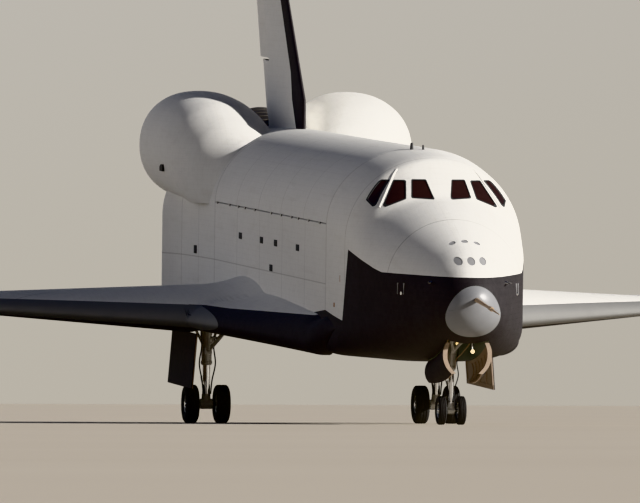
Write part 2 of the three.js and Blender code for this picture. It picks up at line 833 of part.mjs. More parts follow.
piece(
  "vertical_fin",
  cut(
    finSolid,
    hull(REAR, GAP),
    bellClearance,
    rudderWindow(RUDDER_BOTTOM - 75, RUDDER_TOP + 150, 250),
    cove,
  ),
  "white",
);

// Rudder parts in a frame along the hinge: outboard, aft of the hinge and along it
const span = hingeHead.clone().sub(hingeFoot).length();
const fromHinge = (out, aft, along) =>
  hingeFoot
    .clone()
    .addScaledVector(hingeDir, along)
    .addScaledVector(aftDir, aft)
    .add(V(out, 0, 0));
const radiusAlong = (along) =>
  mix(coveRadius(RUDDER_BOTTOM), coveRadius(RUDDER_TOP), along / span);
function spineRing(along) {
  const r = radiusAlong(along) - 6;
  const list = [fromHinge(0, -12, along)];
  for (let i = 0; i <= 6; i++) {
    const a = rad(146 + (68 * i) / 6);
    list.push(fromHinge(r * Math.sin(a), r * Math.cos(a), along));
  }
  return list;
}
piece("rudder_spine", loft([spineRing(60), spineRing(span - 60)], "ear"), "white");
for (const [side, s] of Object.entries(SIDES)) {
  const lift = rad(BRAKE_REST);
  const panelRing = (along) => {
    const z = mix(RUDDER_BOTTOM, RUDDER_TOP, along / span);
    const f = finAt(z);
    const deep = (f.te - f.hinge) / (hingeDir.z + FIN_TE_SLOPE * hingeDir.y);
    const r = radiusAlong(along) - 6;
    const flat = [
      [5, 10],
      [r, 10],
      [0.5 * r + 14, deep * 0.5],
      [22, deep],
      [4, deep],
    ];
    return flat.map(([out, aft]) =>
      fromHinge(
        s * (out * Math.cos(lift) + aft * Math.sin(lift)),
        aft * Math.cos(lift) - out * Math.sin(lift),
        along,
      ),
    );
  };
  const long = loft([panelRing(-400), panelRing(span + 1700)], "ear");
  piece(
    "speed_brake_panel_" + side,
    long.intersect(box(-3000, 3000, 20000, 50000, RUDDER_BOTTOM, RUDDER_TOP)),
    "white",
  );
}

// Tyres and hubs
const WHEEL_FACETS = 24;
function tyre(centre, radius, width, bead) {
  const h = width / 2;
  return revolve(
    [
      [bead, -h * 0.72],
      [mix(bead, radius, 0.45), -h],
      [mix(bead, radius, 0.82), -h * 0.9],
      [radius, -h * 0.5],
      [radius, h * 0.5],
      [mix(bead, radius, 0.82), h * 0.9],
      [mix(bead, radius, 0.45), h],
      [bead, h * 0.72],
    ],
    centre,
    V(1, 0, 0),
    WHEEL_FACETS,
  );
}
function wheelHub(centre, offsets, bead, width, tube) {
  const h = width * 0.36;
  const rims = offsets.map((o) =>
    revolve(
      [
        [tube - 5, -h],
        [bead * 0.45, -h],
        [bead * 0.5, -h + 60],
        [bead * 0.8, -h + 60],
        [bead - 0.4, -h + 2],
        [bead - 0.4, h - 2],
        [bead * 0.8, h - 60],
        [bead * 0.5, h - 60],
        [bead * 0.45, h],
        [tube - 5, h],
      ],
      centre.clone().add(V(o, 0, 0)),
      V(1, 0, 0),
      WHEEL_FACETS,
    ),
  );
  const reach = offsets[1] + h;
  return join(rod(centre.clone().add(V(-reach, 0, 0)), centre.clone().add(V(reach, 0, 0)), tube, tube, 16), ...rims);
}

// Nose gear
const noseCentre = V(0, NOSE.y, NOSE.z);
const noseOffsets = [-NOSE.spacing / 2, NOSE.spacing / 2];
noseOffsets.forEach((o, i) =>
  piece(
    "nose_tyre_" + ["starboard", "port"][i],
    tyre(noseCentre.clone().add(V(o, 0, 0)), NOSE.radius, NOSE.width, 215),
    "tyre",
  ),
);
piece("nose_wheel_hubs", wheelHub(noseCentre, noseOffsets, 215, NOSE.width, 48), "hub");
piece(
  "nose_gear_leg",
  join(
    rod(V(0, NOSE.y, NOSE_WELL.roof - GAP), V(0, NOSE.y, -3560), 120, 105, 18),
    rod(V(-560, NOSE.y, -2330), V(560, NOSE.y, -2330), 70, 70, 14),
    box(-70, 70, NOSE.y - 175, NOSE.y - 60, -3080, -2940),
  ),
  "strut",
);
piece(
  "nose_gear_piston",
  join(
    rod(V(0, NOSE.y, -3560 - GAP), V(0, NOSE.y, NOSE.z + 90), 78, 78, 18),
    rod(V(-95, NOSE.y, NOSE.z), V(95, NOSE.y, NOSE.z), 105, 105, 18),
    box(-40, 40, NOSE.y + 50, NOSE.y + 260, -4120, -4040),
    box(-40, 40, NOSE.y + 180, NOSE.y + 260, -4120, -3640),
  ).subtract(rod(V(-200, NOSE.y, NOSE.z), V(200, NOSE.y, NOSE.z), 56, 56, 18)),
  "chrome",
);
const braceFoot = V(0, NOSE.y - 230, -3010);
piece(
  "nose_gear_drag_brace",
  join(
    box(-70, 70, NOSE.y - 290, NOSE.y - 175 - GAP, -3080, -2940),
    rod(braceFoot, V(-430, 1750, -2160), 48, 48, 10),
    rod(braceFoot, V(430, 1750, -2160), 48, 48, 10),
    rod(V(-560, 1750, -2160), V(560, 1750, -2160), 52, 52, 12),
  ),
  "strut",
);
for (const [side, s] of Object.entries(SIDES)) {
  // The door's free edge bends inwards, more so towards the nose
  const doorSection = (y) => {
    const bend = mix(150, 0, (y - 1260) / 2600);
    return [
      [612, 0, 0],
      [690, -210, 0],
      [715, -450, 0.15],
      [680, -690, 0.5],
      [590, -880, 1],
      [548, -862, 1],
      [632, -680, 0.5],
      [664, -450, 0.15],
      [640, -222, 0],
      [566, 0, 0],
    ].map(([x, dz, share]) => V(s * (x - bend * share), y, bellyAt(y, x) - 40 + dz));
  };
  piece(
    "nose_gear_door_" + side,
    loft([1260, 1900, 2700, 3400, 3860].map(doorSection), "ear"),
    "door",
  );
}

// Main gear
for (const [side, s] of Object.entries(SIDES)) {
  const centre = V(s * MAIN.x, MAIN.y, MAIN.z);
  const x = s * MAIN.x;
  const offsets = [-MAIN.spacing / 2, MAIN.spacing / 2];
  offsets.forEach((o, i) =>
    piece(
      "main_tyre_" + side + "_" + (i === (s > 0 ? 1 : 0) ? "outer" : "inner"),
      tyre(centre.clone().add(V(o, 0, 0)), MAIN.radius, MAIN.width, 265),
      "tyre",
    ),
  );
  piece("main_wheel_hubs_" + side, wheelHub(centre, offsets, 265, MAIN.width, 80), "hub");
  piece(
    "main_gear_leg_" + side,
    join(
      rod(V(x, MAIN.y, MAIN_WELL.roof - GAP), V(x, MAIN.y, -4350), 175, 150, 20),
      rod(V(x - 620, MAIN.y, -2880), V(x + 620, MAIN.y, -2880), 95, 95, 14),
      box(x - 90, x + 90, MAIN.y - 260, MAIN.y - 80, -4000, -3820),
    ),
    "strut",
  );
  piece(
    "main_gear_piston_" + side,
    join(
      rod(V(x, MAIN.y, -4350 - GAP), V(x, MAIN.y, MAIN.z + 120), 118, 118, 20),
      rod(V(x - 175, MAIN.y, MAIN.z), V(x + 175, MAIN.y, MAIN.z), 150, 150, 20),
      box(x - 60, x + 60, MAIN.y + 80, MAIN.y + 400, -5060, -4960),
      box(x - 60, x + 60, MAIN.y + 300, MAIN.y + 400, -5060, -4420),
    ).subtract(rod(V(x - 300, MAIN.y, MAIN.z), V(x + 300, MAIN.y, MAIN.z), 88, 88, 20)),
    "chrome",
  );
  const foot = V(x, MAIN.y - 340, -3910);
  piece(
    "main_gear_drag_brace_" + side,
    join(
      box(x - 90, x + 90, MAIN.y - 430, MAIN.y - 260 - GAP, -4000, -3820),
      rod(foot, V(x - 480, 21000, -2720), 62, 62, 12),
      rod(foot, V(x + 480, 21000, -2720), 62, 62, 12),
      rod(V(x - 600, 21000, -2720), V(x + 600, 21000, -2720), 66, 66, 12),
    ),
    "strut",
  );
  const splay = Math.tan(rad(4.5));
  const doorRingAt = (y) => {
    const top = lowerAt(4400) + 30;
    return [
      V(s * 4345, y, top),
      V(s * 4405, y, top),
      V(s * (4405 + 1600 * splay), y, top - 1600),
      V(s * (4345 + 1600 * splay), y, top - 1600),
    ];
  };
  piece(
    "main_gear_door_" + side,
    loft([doorRingAt(MAIN_WELL.y0 + 10), doorRingAt(MAIN_WELL.y1 - 10)]).subtract(
      box(...[s * 4000, s * 5000].sort((a, b) => a - b), 15000, 30000, lowerAt(4330) - 3, 0),
    ),
    "door",
  );
}

// The airframe is pitched so that nose and main tyres stand on the ground
const reachY = MAIN.y - NOSE.y;
const reachZ = MAIN.z - NOSE.z;
const pitch =
  Math.asin((MAIN.radius - NOSE.radius) / Math.hypot(reachY, reachZ)) - Math.atan2(reachZ, reachY);
const lift = MAIN.radius - (MAIN.y * Math.sin(pitch) + MAIN.z * Math.cos(pitch));

const airframe = new THREE.Group();
airframe.name = "airframe";
for (const { name, solid, material } of pieces) {
  const mesh = solid.getMesh();
  const geometry = new THREE.BufferGeometry();
  const points = new Float32Array(mesh.numVert * 3);
  for (let i = 0; i < mesh.numVert; i++)
    points.set(mesh.vertProperties.subarray(i * mesh.numProp, i * mesh.numProp + 3), i * 3);
  geometry.setAttribute("position", new THREE.BufferAttribute(points, 3));
  geometry.setIndex(new THREE.BufferAttribute(new Uint32Array(mesh.triVerts), 1));
  geometry.computeVertexNormals();
  const shown = new THREE.Mesh(geometry, new THREE.MeshStandardMaterial(MATERIAL[material]));
  shown.name = name;
  airframe.add(shown);
}
airframe.rotation.x = pitch;
airframe.position.set(0, -LENGTH_MID, lift);

const group = new THREE.Group();
group.name = "orbiter";
group.add(airframe);

export default group;
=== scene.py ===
"""A winged space shuttle orbiter, parked on its wheels: its looks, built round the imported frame.

Places and sizes are in the airframe's own frame, in millimetres: x to port, y aft from the nose tip,
z up from the axis of the payload bay. row() pitches them nose-down onto the wheels, in metres.
"""
from math import acos, asin, atan2, cos, hypot, pi, radians, sin, sqrt, tan

import bmesh
import bpy
import numpy as np
from mathutils import Matrix, Vector
from mathutils.kdtree import KDTree


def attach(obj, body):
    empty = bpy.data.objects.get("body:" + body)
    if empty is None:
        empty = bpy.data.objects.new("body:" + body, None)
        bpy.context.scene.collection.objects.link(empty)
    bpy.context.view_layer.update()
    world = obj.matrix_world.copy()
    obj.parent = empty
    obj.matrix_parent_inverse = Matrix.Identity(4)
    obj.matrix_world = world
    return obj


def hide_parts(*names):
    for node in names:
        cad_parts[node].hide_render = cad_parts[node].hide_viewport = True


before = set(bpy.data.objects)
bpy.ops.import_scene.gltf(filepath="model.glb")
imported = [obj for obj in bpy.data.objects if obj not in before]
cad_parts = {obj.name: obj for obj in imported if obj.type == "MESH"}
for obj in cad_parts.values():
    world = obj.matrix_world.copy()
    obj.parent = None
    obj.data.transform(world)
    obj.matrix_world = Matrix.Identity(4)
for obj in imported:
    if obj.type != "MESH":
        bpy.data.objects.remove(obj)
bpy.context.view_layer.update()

SIDES = {"port": 1, "starboard": -1}

# Landing gear and the attitude that it gives
MAIN = {"x": 3455, "y": 23876, "z": -5500,
        "radius": 565, "spacing": 930, "width": 410, "bead": 265, "tube": 80, "bolts": 10}
NOSE = {"y": 3607, "z": -4690,
        "radius": 406, "spacing": 560, "width": 224, "bead": 215, "tube": 48, "bolts": 8}
MIDDLE_STATION = 16600
REACH_Y, REACH_Z = MAIN["y"] - NOSE["y"], MAIN["z"] - NOSE["z"]
PITCH = (asin((MAIN["radius"] - NOSE["radius"]) / hypot(REACH_Y, REACH_Z))
         - atan2(REACH_Z, REACH_Y))
LIFT = MAIN["radius"] - (MAIN["y"] * sin(PITCH) + MAIN["z"] * cos(PITCH))

# Fuselage sections: station, half width, top, ends of the upright side, bottom, corner powers
FORWARD_END, AFT_START, BASE = 8838, 27204, 32385
HALF, BELLY, CREST, SILL, BAY_RADIUS = 2667, -3430, 2540, 340, 2286
FORWARD = np.array([
    (0, 40, -1400, -1440, -1440, -1490, 2, 2),
    (60, 290, -1215, -1560, -1560, -1830, 2, 2),
    (180, 500, -1050, -1680, -1680, -2080, 2, 2),
    (420, 735, -770, -1760, -1760, -2330, 2, 2),
    (750, 930, -470, -1750, -1800, -2500, 2, 2.1),
    (1200, 1150, -180, -1650, -1850, -2720, 2, 2.2),
    (1800, 1370, 90, -1500, -1900, -2930, 2, 2.3),
    (2700, 1700, 440, -1300, -1950, -3130, 2, 2.5),
    (3700, 2010, 790, -1050, -2050, -3270, 2, 2.7),
    (4700, 2240, 1090, -750, -2150, -3360, 2, 3),
    (5250, 2350, 1250, -500, -2200, -3390, 2, 3),
    (5700, 2420, 1640, -400, -2230, -3410, 2, 3),
    (6100, 2470, 1985, -250, -2270, -3425, 2, 3.1),
    (6450, 2510, 2270, -100, -2300, -3430, 2, 3.2),
    (6900, 2560, 2370, 0, -2400, -3430, 2, 3.4),
    (7722, 2625, 2440, 150, -2550, -3430, 2, 4),
    (FORWARD_END, HALF, CREST, 300, -2800, BELLY, 2, 5)], float)
REAR = np.array([
    (AFT_START, HALF, CREST, 300, -2800, BELLY, 2, 5),
    (29300, 2790, 2530, 240, -2750, -3300, 2, 5),
    (31300, 2990, 2500, 0, -2600, -3080, 2, 5),
    (31900, 3150, 2490, -100, -2550, -3010, 2, 5),
    (BASE, 3370, 2480, -200, -2500, -2960, 2, 5)], float)
POD = np.array([
    # station, centre x, centre z, half width, half height
    (27290, 1350, 700, 1050, 1200), (27700, 1480, 850, 1180, 1300), (28500, 1800, 1250, 1460, 1500),
    (29600, 2090, 1640, 1640, 1610), (30800, 2210, 1840, 1700, 1620), (32200, 2250, 1900, 1740, 1630),
    (33200, 2250, 1890, 1700, 1610), (33900, 2250, 1860, 1560, 1450)], float)
POD_POWER = 2 / 2.15  # of the sine and cosine that draw a pod's rounded outline
POD_KEPT = {"x": 420, "y": 27264, "z": 280}  # what lies outboard, aft and above of this is kept

# Windows, as seen from the front (x, z) and from the side (y, z)
FRONT_PANES = {
    "centre": [(255, 1215), (840, 1240), (750, 1715), (385, 1715)],
    "outer": [(1030, 1210), (1640, 965), (1235, 1690), (945, 1690)]}
SIDE_PANE = [(5760, 960), (6190, 1150), (6350, 1690), (6210, 1690)]
PANE_CORNER = 45
NOSE_RIM = [(-236, 0), (1348, -4000)]  # two (y, z) points of the nose cap's sloping rear edge
MODULE = {"corners": [(560, -780), (3380, -120)], "top": 1600}
THRUSTER_X = (-350, 0, 350)
# The rods that cut the thruster ports: the front ones' front ends and the upper ones' lower ends
FRONT_PORT = {"y": 500, "z": -390, "radius": 112}
UPPER_PORT = {"y": 1900, "z": -140, "radius": 95}
CABIN = {"y0": 4330, "y1": 8560, "floor": -2000, "wall": 130}
HATCH = {"y": 4950, "z": -1050, "radius": 508}
# The boxes that cut the wheel wells, from below the skin up to the roof
NOSE_WELL = {"x0": -600, "x1": 600, "y0": 1150, "y1": 3980, "below": -5000, "roof": -2050}
MAIN_WELL = {"x0": 2730, "x1": 4330, "y0": 20270, "y1": 24360, "below": -6000, "roof": -2560}
BAY_DOOR = {"y0": 8850, "y1": 27190, "shoulder": 300, "edge": 380, "thick": 100, "split": 4}

# Wing
TIP, KINK, LE_CENTRE, TE_CENTRE, TE_SLOPE = 11896, 4750, 15240, 32746, -0.17733
GLOVE_START, GLOVE_EASE, GLOVE_SLOPE, THICKNESS, WING_BASE = 6830, 2600, 6.32, 0.108, -3422
DIHEDRAL = tan(radians(3.5))
ELEVON_HINGE, ELEVON_SPLIT, ELEVON_INBOARD, ELEVON_REST = 29235, 7938, 3440, 9
# x and distance behind the leading edge, round what comes off the wing as its own piece
EDGE_OUTLINE = [(4300, -3500), (4300, 430), (12500, 430), (12500, -3500)]
FILLET = (1100, 230)  # width and height of the fairing along the wing's root
ELEVON_GAP = 62
FLAP = {"y": 32918, "z": -2800, "end": 34976, "half": 3160, "nose": 190}

# Fin
FIN_ROOT, FIN_TIP = (2616, 26467, 33287), (10635, 34488, 37241)
FIN_HINGE, FIN_HALF = 0.6, 0.0525
RUDDER = (4550, 9690)
BRAKE_REST = 2  # degrees that each speed brake panel stands open

# Engines: name, x, z, pitch, yaw
ENGINES = [("upper", 0, 1170, 10, 0), ("port", 1346, -1380, 8, 3.5), ("starboard", -1346, -1380, 8, -3.5)]
ENGINE = {"y": 31000, "start": 1500, "length": 3950, "throat": 330, "exit": 1170}


# Geometry in the airframe's frame

def row(points):
    """Airframe millimetres to the row frame's metres."""
    p = np.asarray(points, float)
    x, y, z = p[..., 0], p[..., 1], p[..., 2]
    c, s = cos(PITCH), sin(PITCH)
    return np.stack([x, y * c - z * s - MIDDLE_STATION, y * s + z * c + LIFT], -1) / 1000


def smooth(xs, ys, at):
    """A curve through the points that never overshoots them."""
    h, d = np.diff(xs), np.diff(ys, axis=0)
    d = d / h[:, None]
    m = np.zeros_like(ys)
    m[0], m[-1] = d[0], d[-1]
    w1, w2 = (2 * h[1:] + h[:-1])[:, None], (h[1:] + 2 * h[:-1])[:, None]
    both = d[:-1] * d[1:] > 0
    safe = np.where(both, d[:-1], 1), np.where(both, d[1:], 1)
    m[1:-1] = np.where(both, (w1 + w2) / (w1 / safe[0] + w2 / safe[1]), 0)
    at = np.clip(at, xs[0], xs[-1])
    i = np.clip(np.searchsorted(xs, at, side="right") - 1, 0, len(xs) - 2)
    t = ((at - xs[i]) / h[i])[:, None]
    k = h[i][:, None]
    return ((1 + 2 * t) * (1 - t) ** 2 * ys[i] + t * (1 - t) ** 2 * k * m[i]
            + t * t * (3 - 2 * t) * ys[i + 1] + t * t * (t - 1) * k * m[i + 1])


def sections(table, stations):
    """Rows of a section table at these stations. Stations go by their root, so that the nose is round."""
    stations = np.asarray(stations, float)
    if table is FORWARD:
        out = smooth(np.sqrt(table[:, 0]), table, np.sqrt(stations))
    else:
        out = smooth(table[:, 0], table, stations)
    out[:, 0] = stations
    return out


def body_grid(rows, grow=0.0, upper=36, side=10, lower=24):
    """Rings round the fuselage from the top centre over the port side, grown outwards."""
    rings = []
    for y, half, top, high, low, bottom, up, down in rows:
        a = np.linspace(0, pi / 2, upper + 1)
        t = np.linspace(0, 1, lower + 1)
        b = pi / 2 * (3 * t ** 2 - 2 * t ** 3)
        s = np.linspace(0, 1, side + 1)[1:-1]
        x = np.concatenate([(half + grow) * np.sin(a) ** (2 / up), np.full(side - 1, half + grow),
                            (half + grow) * np.abs(np.cos(b)) ** (2 / down)])
        z = np.concatenate([high + (top + grow - high) * np.abs(np.cos(a)) ** (2 / up),
                            high + (low - high) * s,
                            low - (low - bottom + grow) * np.sin(b) ** (2 / down)])
        x[0] = x[-1] = 0
        port = np.stack([x, np.full_like(x, y), z], -1)
        rings.append(np.concatenate([port, port[1:-1][::-1] * (-1, 1, 1)]))
    return np.array(rings)


# Meshes

def make(name, verts, faces, materials=(), sharp=40.0):
    mesh = bpy.data.meshes.new(name)
    mesh.from_pydata([tuple(v) for v in verts], [], [tuple(f) for f in faces])
    for m in materials:
        mesh.materials.append(m)
    obj = bpy.data.objects.new(name, mesh)
    bpy.context.scene.collection.objects.link(obj)
    if sharp is not None:
        soften(obj, sharp)
    return obj


def soften(obj, sharp=40.0):
    obj.data.shade_smooth()
    obj.data.set_sharp_from_angle(angle=radians(sharp))


def face_out(obj):
    """Turns every face outwards."""
    b = bmesh.new()
    b.from_mesh(obj.data)
    bmesh.ops.recalc_face_normals(b, faces=b.faces)
    b.to_mesh(obj.data)
    b.free()


def loft(name, rings, materials=(), sharp=40.0):
    """A skin over closed rings of airframe points, with flat ends."""
    rings = np.asarray(rings, float)
    n, m = rings.shape[:2]
    faces = [(k * m + j, k * m + (j + 1) % m, (k + 1) * m + (j + 1) % m, (k + 1) * m + j)
             for k in range(n - 1) for j in range(m)]
    faces += [tuple(range(m))[::-1], tuple((n - 1) * m + j for j in range(m))]
    obj = make(name, row(rings).reshape(-1, 3), faces, materials, None)
    face_out(obj)
    if sharp is not None:
        soften(obj, sharp)
    return obj


def prism(axis, outline, start, end, finish=None):
    """An outline in the two other axes, drawn out along the named one."""
    place = {"x": lambda s, p: (s, p[0], p[1]), "y": lambda s, p: (p[0], s, p[1]),
             "z": lambda s, p: (p[0], p[1], s)}[axis]
    obj = loft("prism", [[place(s, p) for p in outline] for s in (start, end)])
    return paint(obj, finish) if finish else obj


def block(x, y, z, finish=None):
    """A box between two values of x, of y and of z."""
    x, z = sorted(x), sorted(z)
    return prism("y", [(x[0], z[0]), (x[1], z[0]), (x[1], z[1]), (x[0], z[1])], *y, finish)


def unit(vector):
    return vector / np.linalg.norm(vector)


def rounded(outline, radius, steps=6):
    """An outline with its corners rounded."""
    pts = [np.array(p, float) for p in outline]
    out = []
    for i, p in enumerate(pts):
        a, b = pts[i - 1] - p, pts[(i + 1) % len(pts)] - p
        a, b = unit(a), unit(b)
        half = acos(np.clip(a @ b, -1, 1)) / 2
        reach = radius / tan(half)
        mid = unit(a + b) * (radius / sin(half))
        p0, p1 = a * reach - mid, b * reach - mid
        for k in range(steps + 1):
            out.append(p + mid + unit(p0 * (1 - k / steps) + p1 * k / steps) * radius)
    return out


def grown(outline, by):
    """An outline moved outwards by a distance."""
    pts = np.array(outline, float)
    area = np.sum(pts[:, 0] * np.roll(pts[:, 1], -1) - pts[:, 1] * np.roll(pts[:, 0], -1))
    e = np.roll(pts, -1, 0) - pts
    n = np.stack([e[:, 1], -e[:, 0]], -1) / np.linalg.norm(e, axis=1)[:, None] * np.sign(area)
    prev = np.roll(n, 1, 0)
    return [tuple(q) for q in pts + (n + prev) / (1 + np.sum(n * prev, 1))[:, None] * by]


def circle(direction, count):
    """The unit direction, and points of the unit circle square to it."""
    d = unit(np.array(direction, float))
    side = np.array([1.0, 0, 0]) if abs(d[2]) > 0.9 else np.array([0, 0, 1.0])
    u = unit(np.cross(side, d))
    a = np.linspace(0, 2 * pi, count, endpoint=False)[:, None]
    return d, np.cos(a) * u + np.sin(a) * np.cross(d, u)


def turned(profile, origin, direction, count=64, finish=None, closed=True, sharp=40.0, name="turned"):
    """A profile of (radius, distance along the axis) turned round an axis."""
    d, ring = circle(direction, count)
    rings = np.array([np.array(origin, float) + d * h + ring * max(r, 0.5) for r, h in profile])
    faces = []
    for k in range(len(rings) if closed else len(rings) - 1):
        q = (k + 1) % len(rings)
        for j in range(count):
            i = (j + 1) % count
            faces.append((k * count + j, k * count + i, q * count + i, q * count + j))
    obj = make(name, row(rings).reshape(-1, 3), faces, (finish,), None)
    face_out(obj)
    soften(obj, sharp)
    return obj


def rod(a, b, ra, rb=None, count=32, finish=None):
    """A round bar between two points, tapered where a second radius is given."""
    a, b = np.array(a, float), np.array(b, float)
    ring = circle(b - a, count)[1]
    return loft("rod", [a + ring * ra, b + ring * (ra if rb is None else rb)], (finish,) if finish else ())


def smooth_path(p, at):
    """Catmull-Rom curve through the points, at these shares of their count."""
    ext = np.concatenate([[2 * p[0] - p[1]], p, [2 * p[-1] - p[-2]]])
    out = []
    for t in at:
        i = min(int(t), len(p) - 2)
        f = t - i
        a, b, c, d = ext[i:i + 4]
        out.append(0.5 * (2 * b + (c - a) * f + (2 * a - 5 * b + 4 * c - d) * f ** 2
                          + (3 * b - a - 3 * c + d) * f ** 3))
    return np.array(out)


def sweep(name, points, radius, material, count=14, steps=8):
    """A tube along a smooth path."""
    p = np.array(points, float)
    path = smooth_path(p, np.linspace(0, len(p) - 1, (len(p) - 1) * steps + 1))
    u = circle(path[1] - path[0], count)[1][0]
    a = np.linspace(0, 2 * pi, count, endpoint=False)[:, None]
    rings = []
    for k, q in enumerate(path):
        d = unit(path[min(k + 1, len(path) - 1)] - path[max(k - 1, 0)])
        u = unit(u - d * (u @ d))
        rings.append(q + (np.cos(a) * u + np.sin(a) * np.cross(d, u)) * radius)
    return loft(name, rings, (material,), sharp=50)


def remove(*objs):
    for o in objs:
        mesh = o.data
        bpy.data.objects.remove(o)
        bpy.data.meshes.remove(mesh)


def duplicate(obj, name):
    other = bpy.data.objects.new(name, obj.data.copy())
    bpy.context.scene.collection.objects.link(other)
    return other


def carve(obj, *tools, keep=False):
    """Cuts the tools out of obj, or keeps only what is inside them, and uses the tools up."""
    for t in tools:
        m = obj.modifiers.new("cut", "BOOLEAN")
        m.operation = "INTERSECT" if keep else "DIFFERENCE"
        m.solver = "MANIFOLD"
        m.object = t
    graph = bpy.context.evaluated_depsgraph_get()
    mesh, old = bpy.data.meshes.new_from_object(obj.evaluated_get(graph)), obj.data
    obj.modifiers.clear()
    obj.data = mesh
    bpy.data.meshes.remove(old)
    remove(*tools)
    return obj


def paint(obj, material, sharp=30.0):
    """One material all over."""
    obj.data.materials.clear()
    obj.data.materials.append(material)
    obj.data.polygons.foreach_set("material_index", [0] * len(obj.data.polygons))
    soften(obj, sharp)
    return obj


def join(name, objs):
    """One object from several, with their materials."""
    verts, faces, slots, mats = [], [], [], []
    for o in objs:
        start = len(verts)
        mats += [m for m in o.data.materials if m not in mats]
        index = [mats.index(m) for m in o.data.materials]
        verts += [tuple(v.co) for v in o.data.vertices]
        faces += [tuple(start + i for i in p.vertices) for p in o.data.polygons]
        slots += [index[p.material_index] for p in o.data.polygons]
    obj = make(name, verts, faces, mats)
    obj.data.polygons.foreach_set("material_index", slots)
    remove(*objs)
    return obj


class Skin:
    """A smooth surface that gives its normals back to the pieces cut from it."""

    def __init__(self, grid):
        p = row(grid)
        du = np.gradient(p, axis=0)
        dv = (np.roll(p, -1, 1) - np.roll(p, 1, 1)) / 2
        n = np.cross(dv, du)
        size = np.linalg.norm(n, axis=2)
        kept = (size > 1e-8).ravel()
        n /= np.maximum(size, 1e-12)[..., None]
        middle = p.mean(1, keepdims=True)
        if np.mean(np.sum((p - middle) * n, -1)) < 0:
            n = -n
        self.points, self.normals = p.reshape(-1, 3)[kept], n.reshape(-1, 3)[kept]
        self.tree = KDTree(len(self.points))
        for i, q in enumerate(self.points):
            self.tree.insert(q, i)
        self.tree.balance()

    def at(self, point):
        """The skin's direction near a point, and how far the point is off the skin."""
        found = self.tree.find_n(point, 4)
        w = np.array([1 / (d + 1e-6) for _, _, d in found])
        idx = [i for _, i, _ in found]
        n = (self.normals[idx] * w[:, None]).sum(0)
        n /= max(np.linalg.norm(n), 1e-9)
        off = float(np.dot(np.array(point) - self.points[idx[0]], self.normals[idx[0]]))
        return n, off


def dress(obj, skin, outer, inner, near=0.004):
    """Faces on the skin get the outer material and the skin's own normals; the rest get the inner one."""
    mesh = obj.data
    mesh.materials.clear()
    mesh.materials.append(outer)
    mesh.materials.append(inner)
    found = [skin.at(v.co) for v in mesh.vertices]
    normals = [None] * len(mesh.loops)
    slots = []
    for p in mesh.polygons:
        flat = np.array(p.normal)
        on = all(abs(found[i][1]) < near and float(np.dot(found[i][0], flat)) > 0.5 for i in p.vertices)
        slots.append(0 if on else 1)
        for li in p.loop_indices:
            normals[li] = tuple(found[mesh.loops[li].vertex_index][0]) if on else tuple(flat)
    mesh.polygons.foreach_set("material_index", slots)
    mesh.shade_smooth()
    mesh.normals_split_custom_set(normals)
    return obj


# Node materials

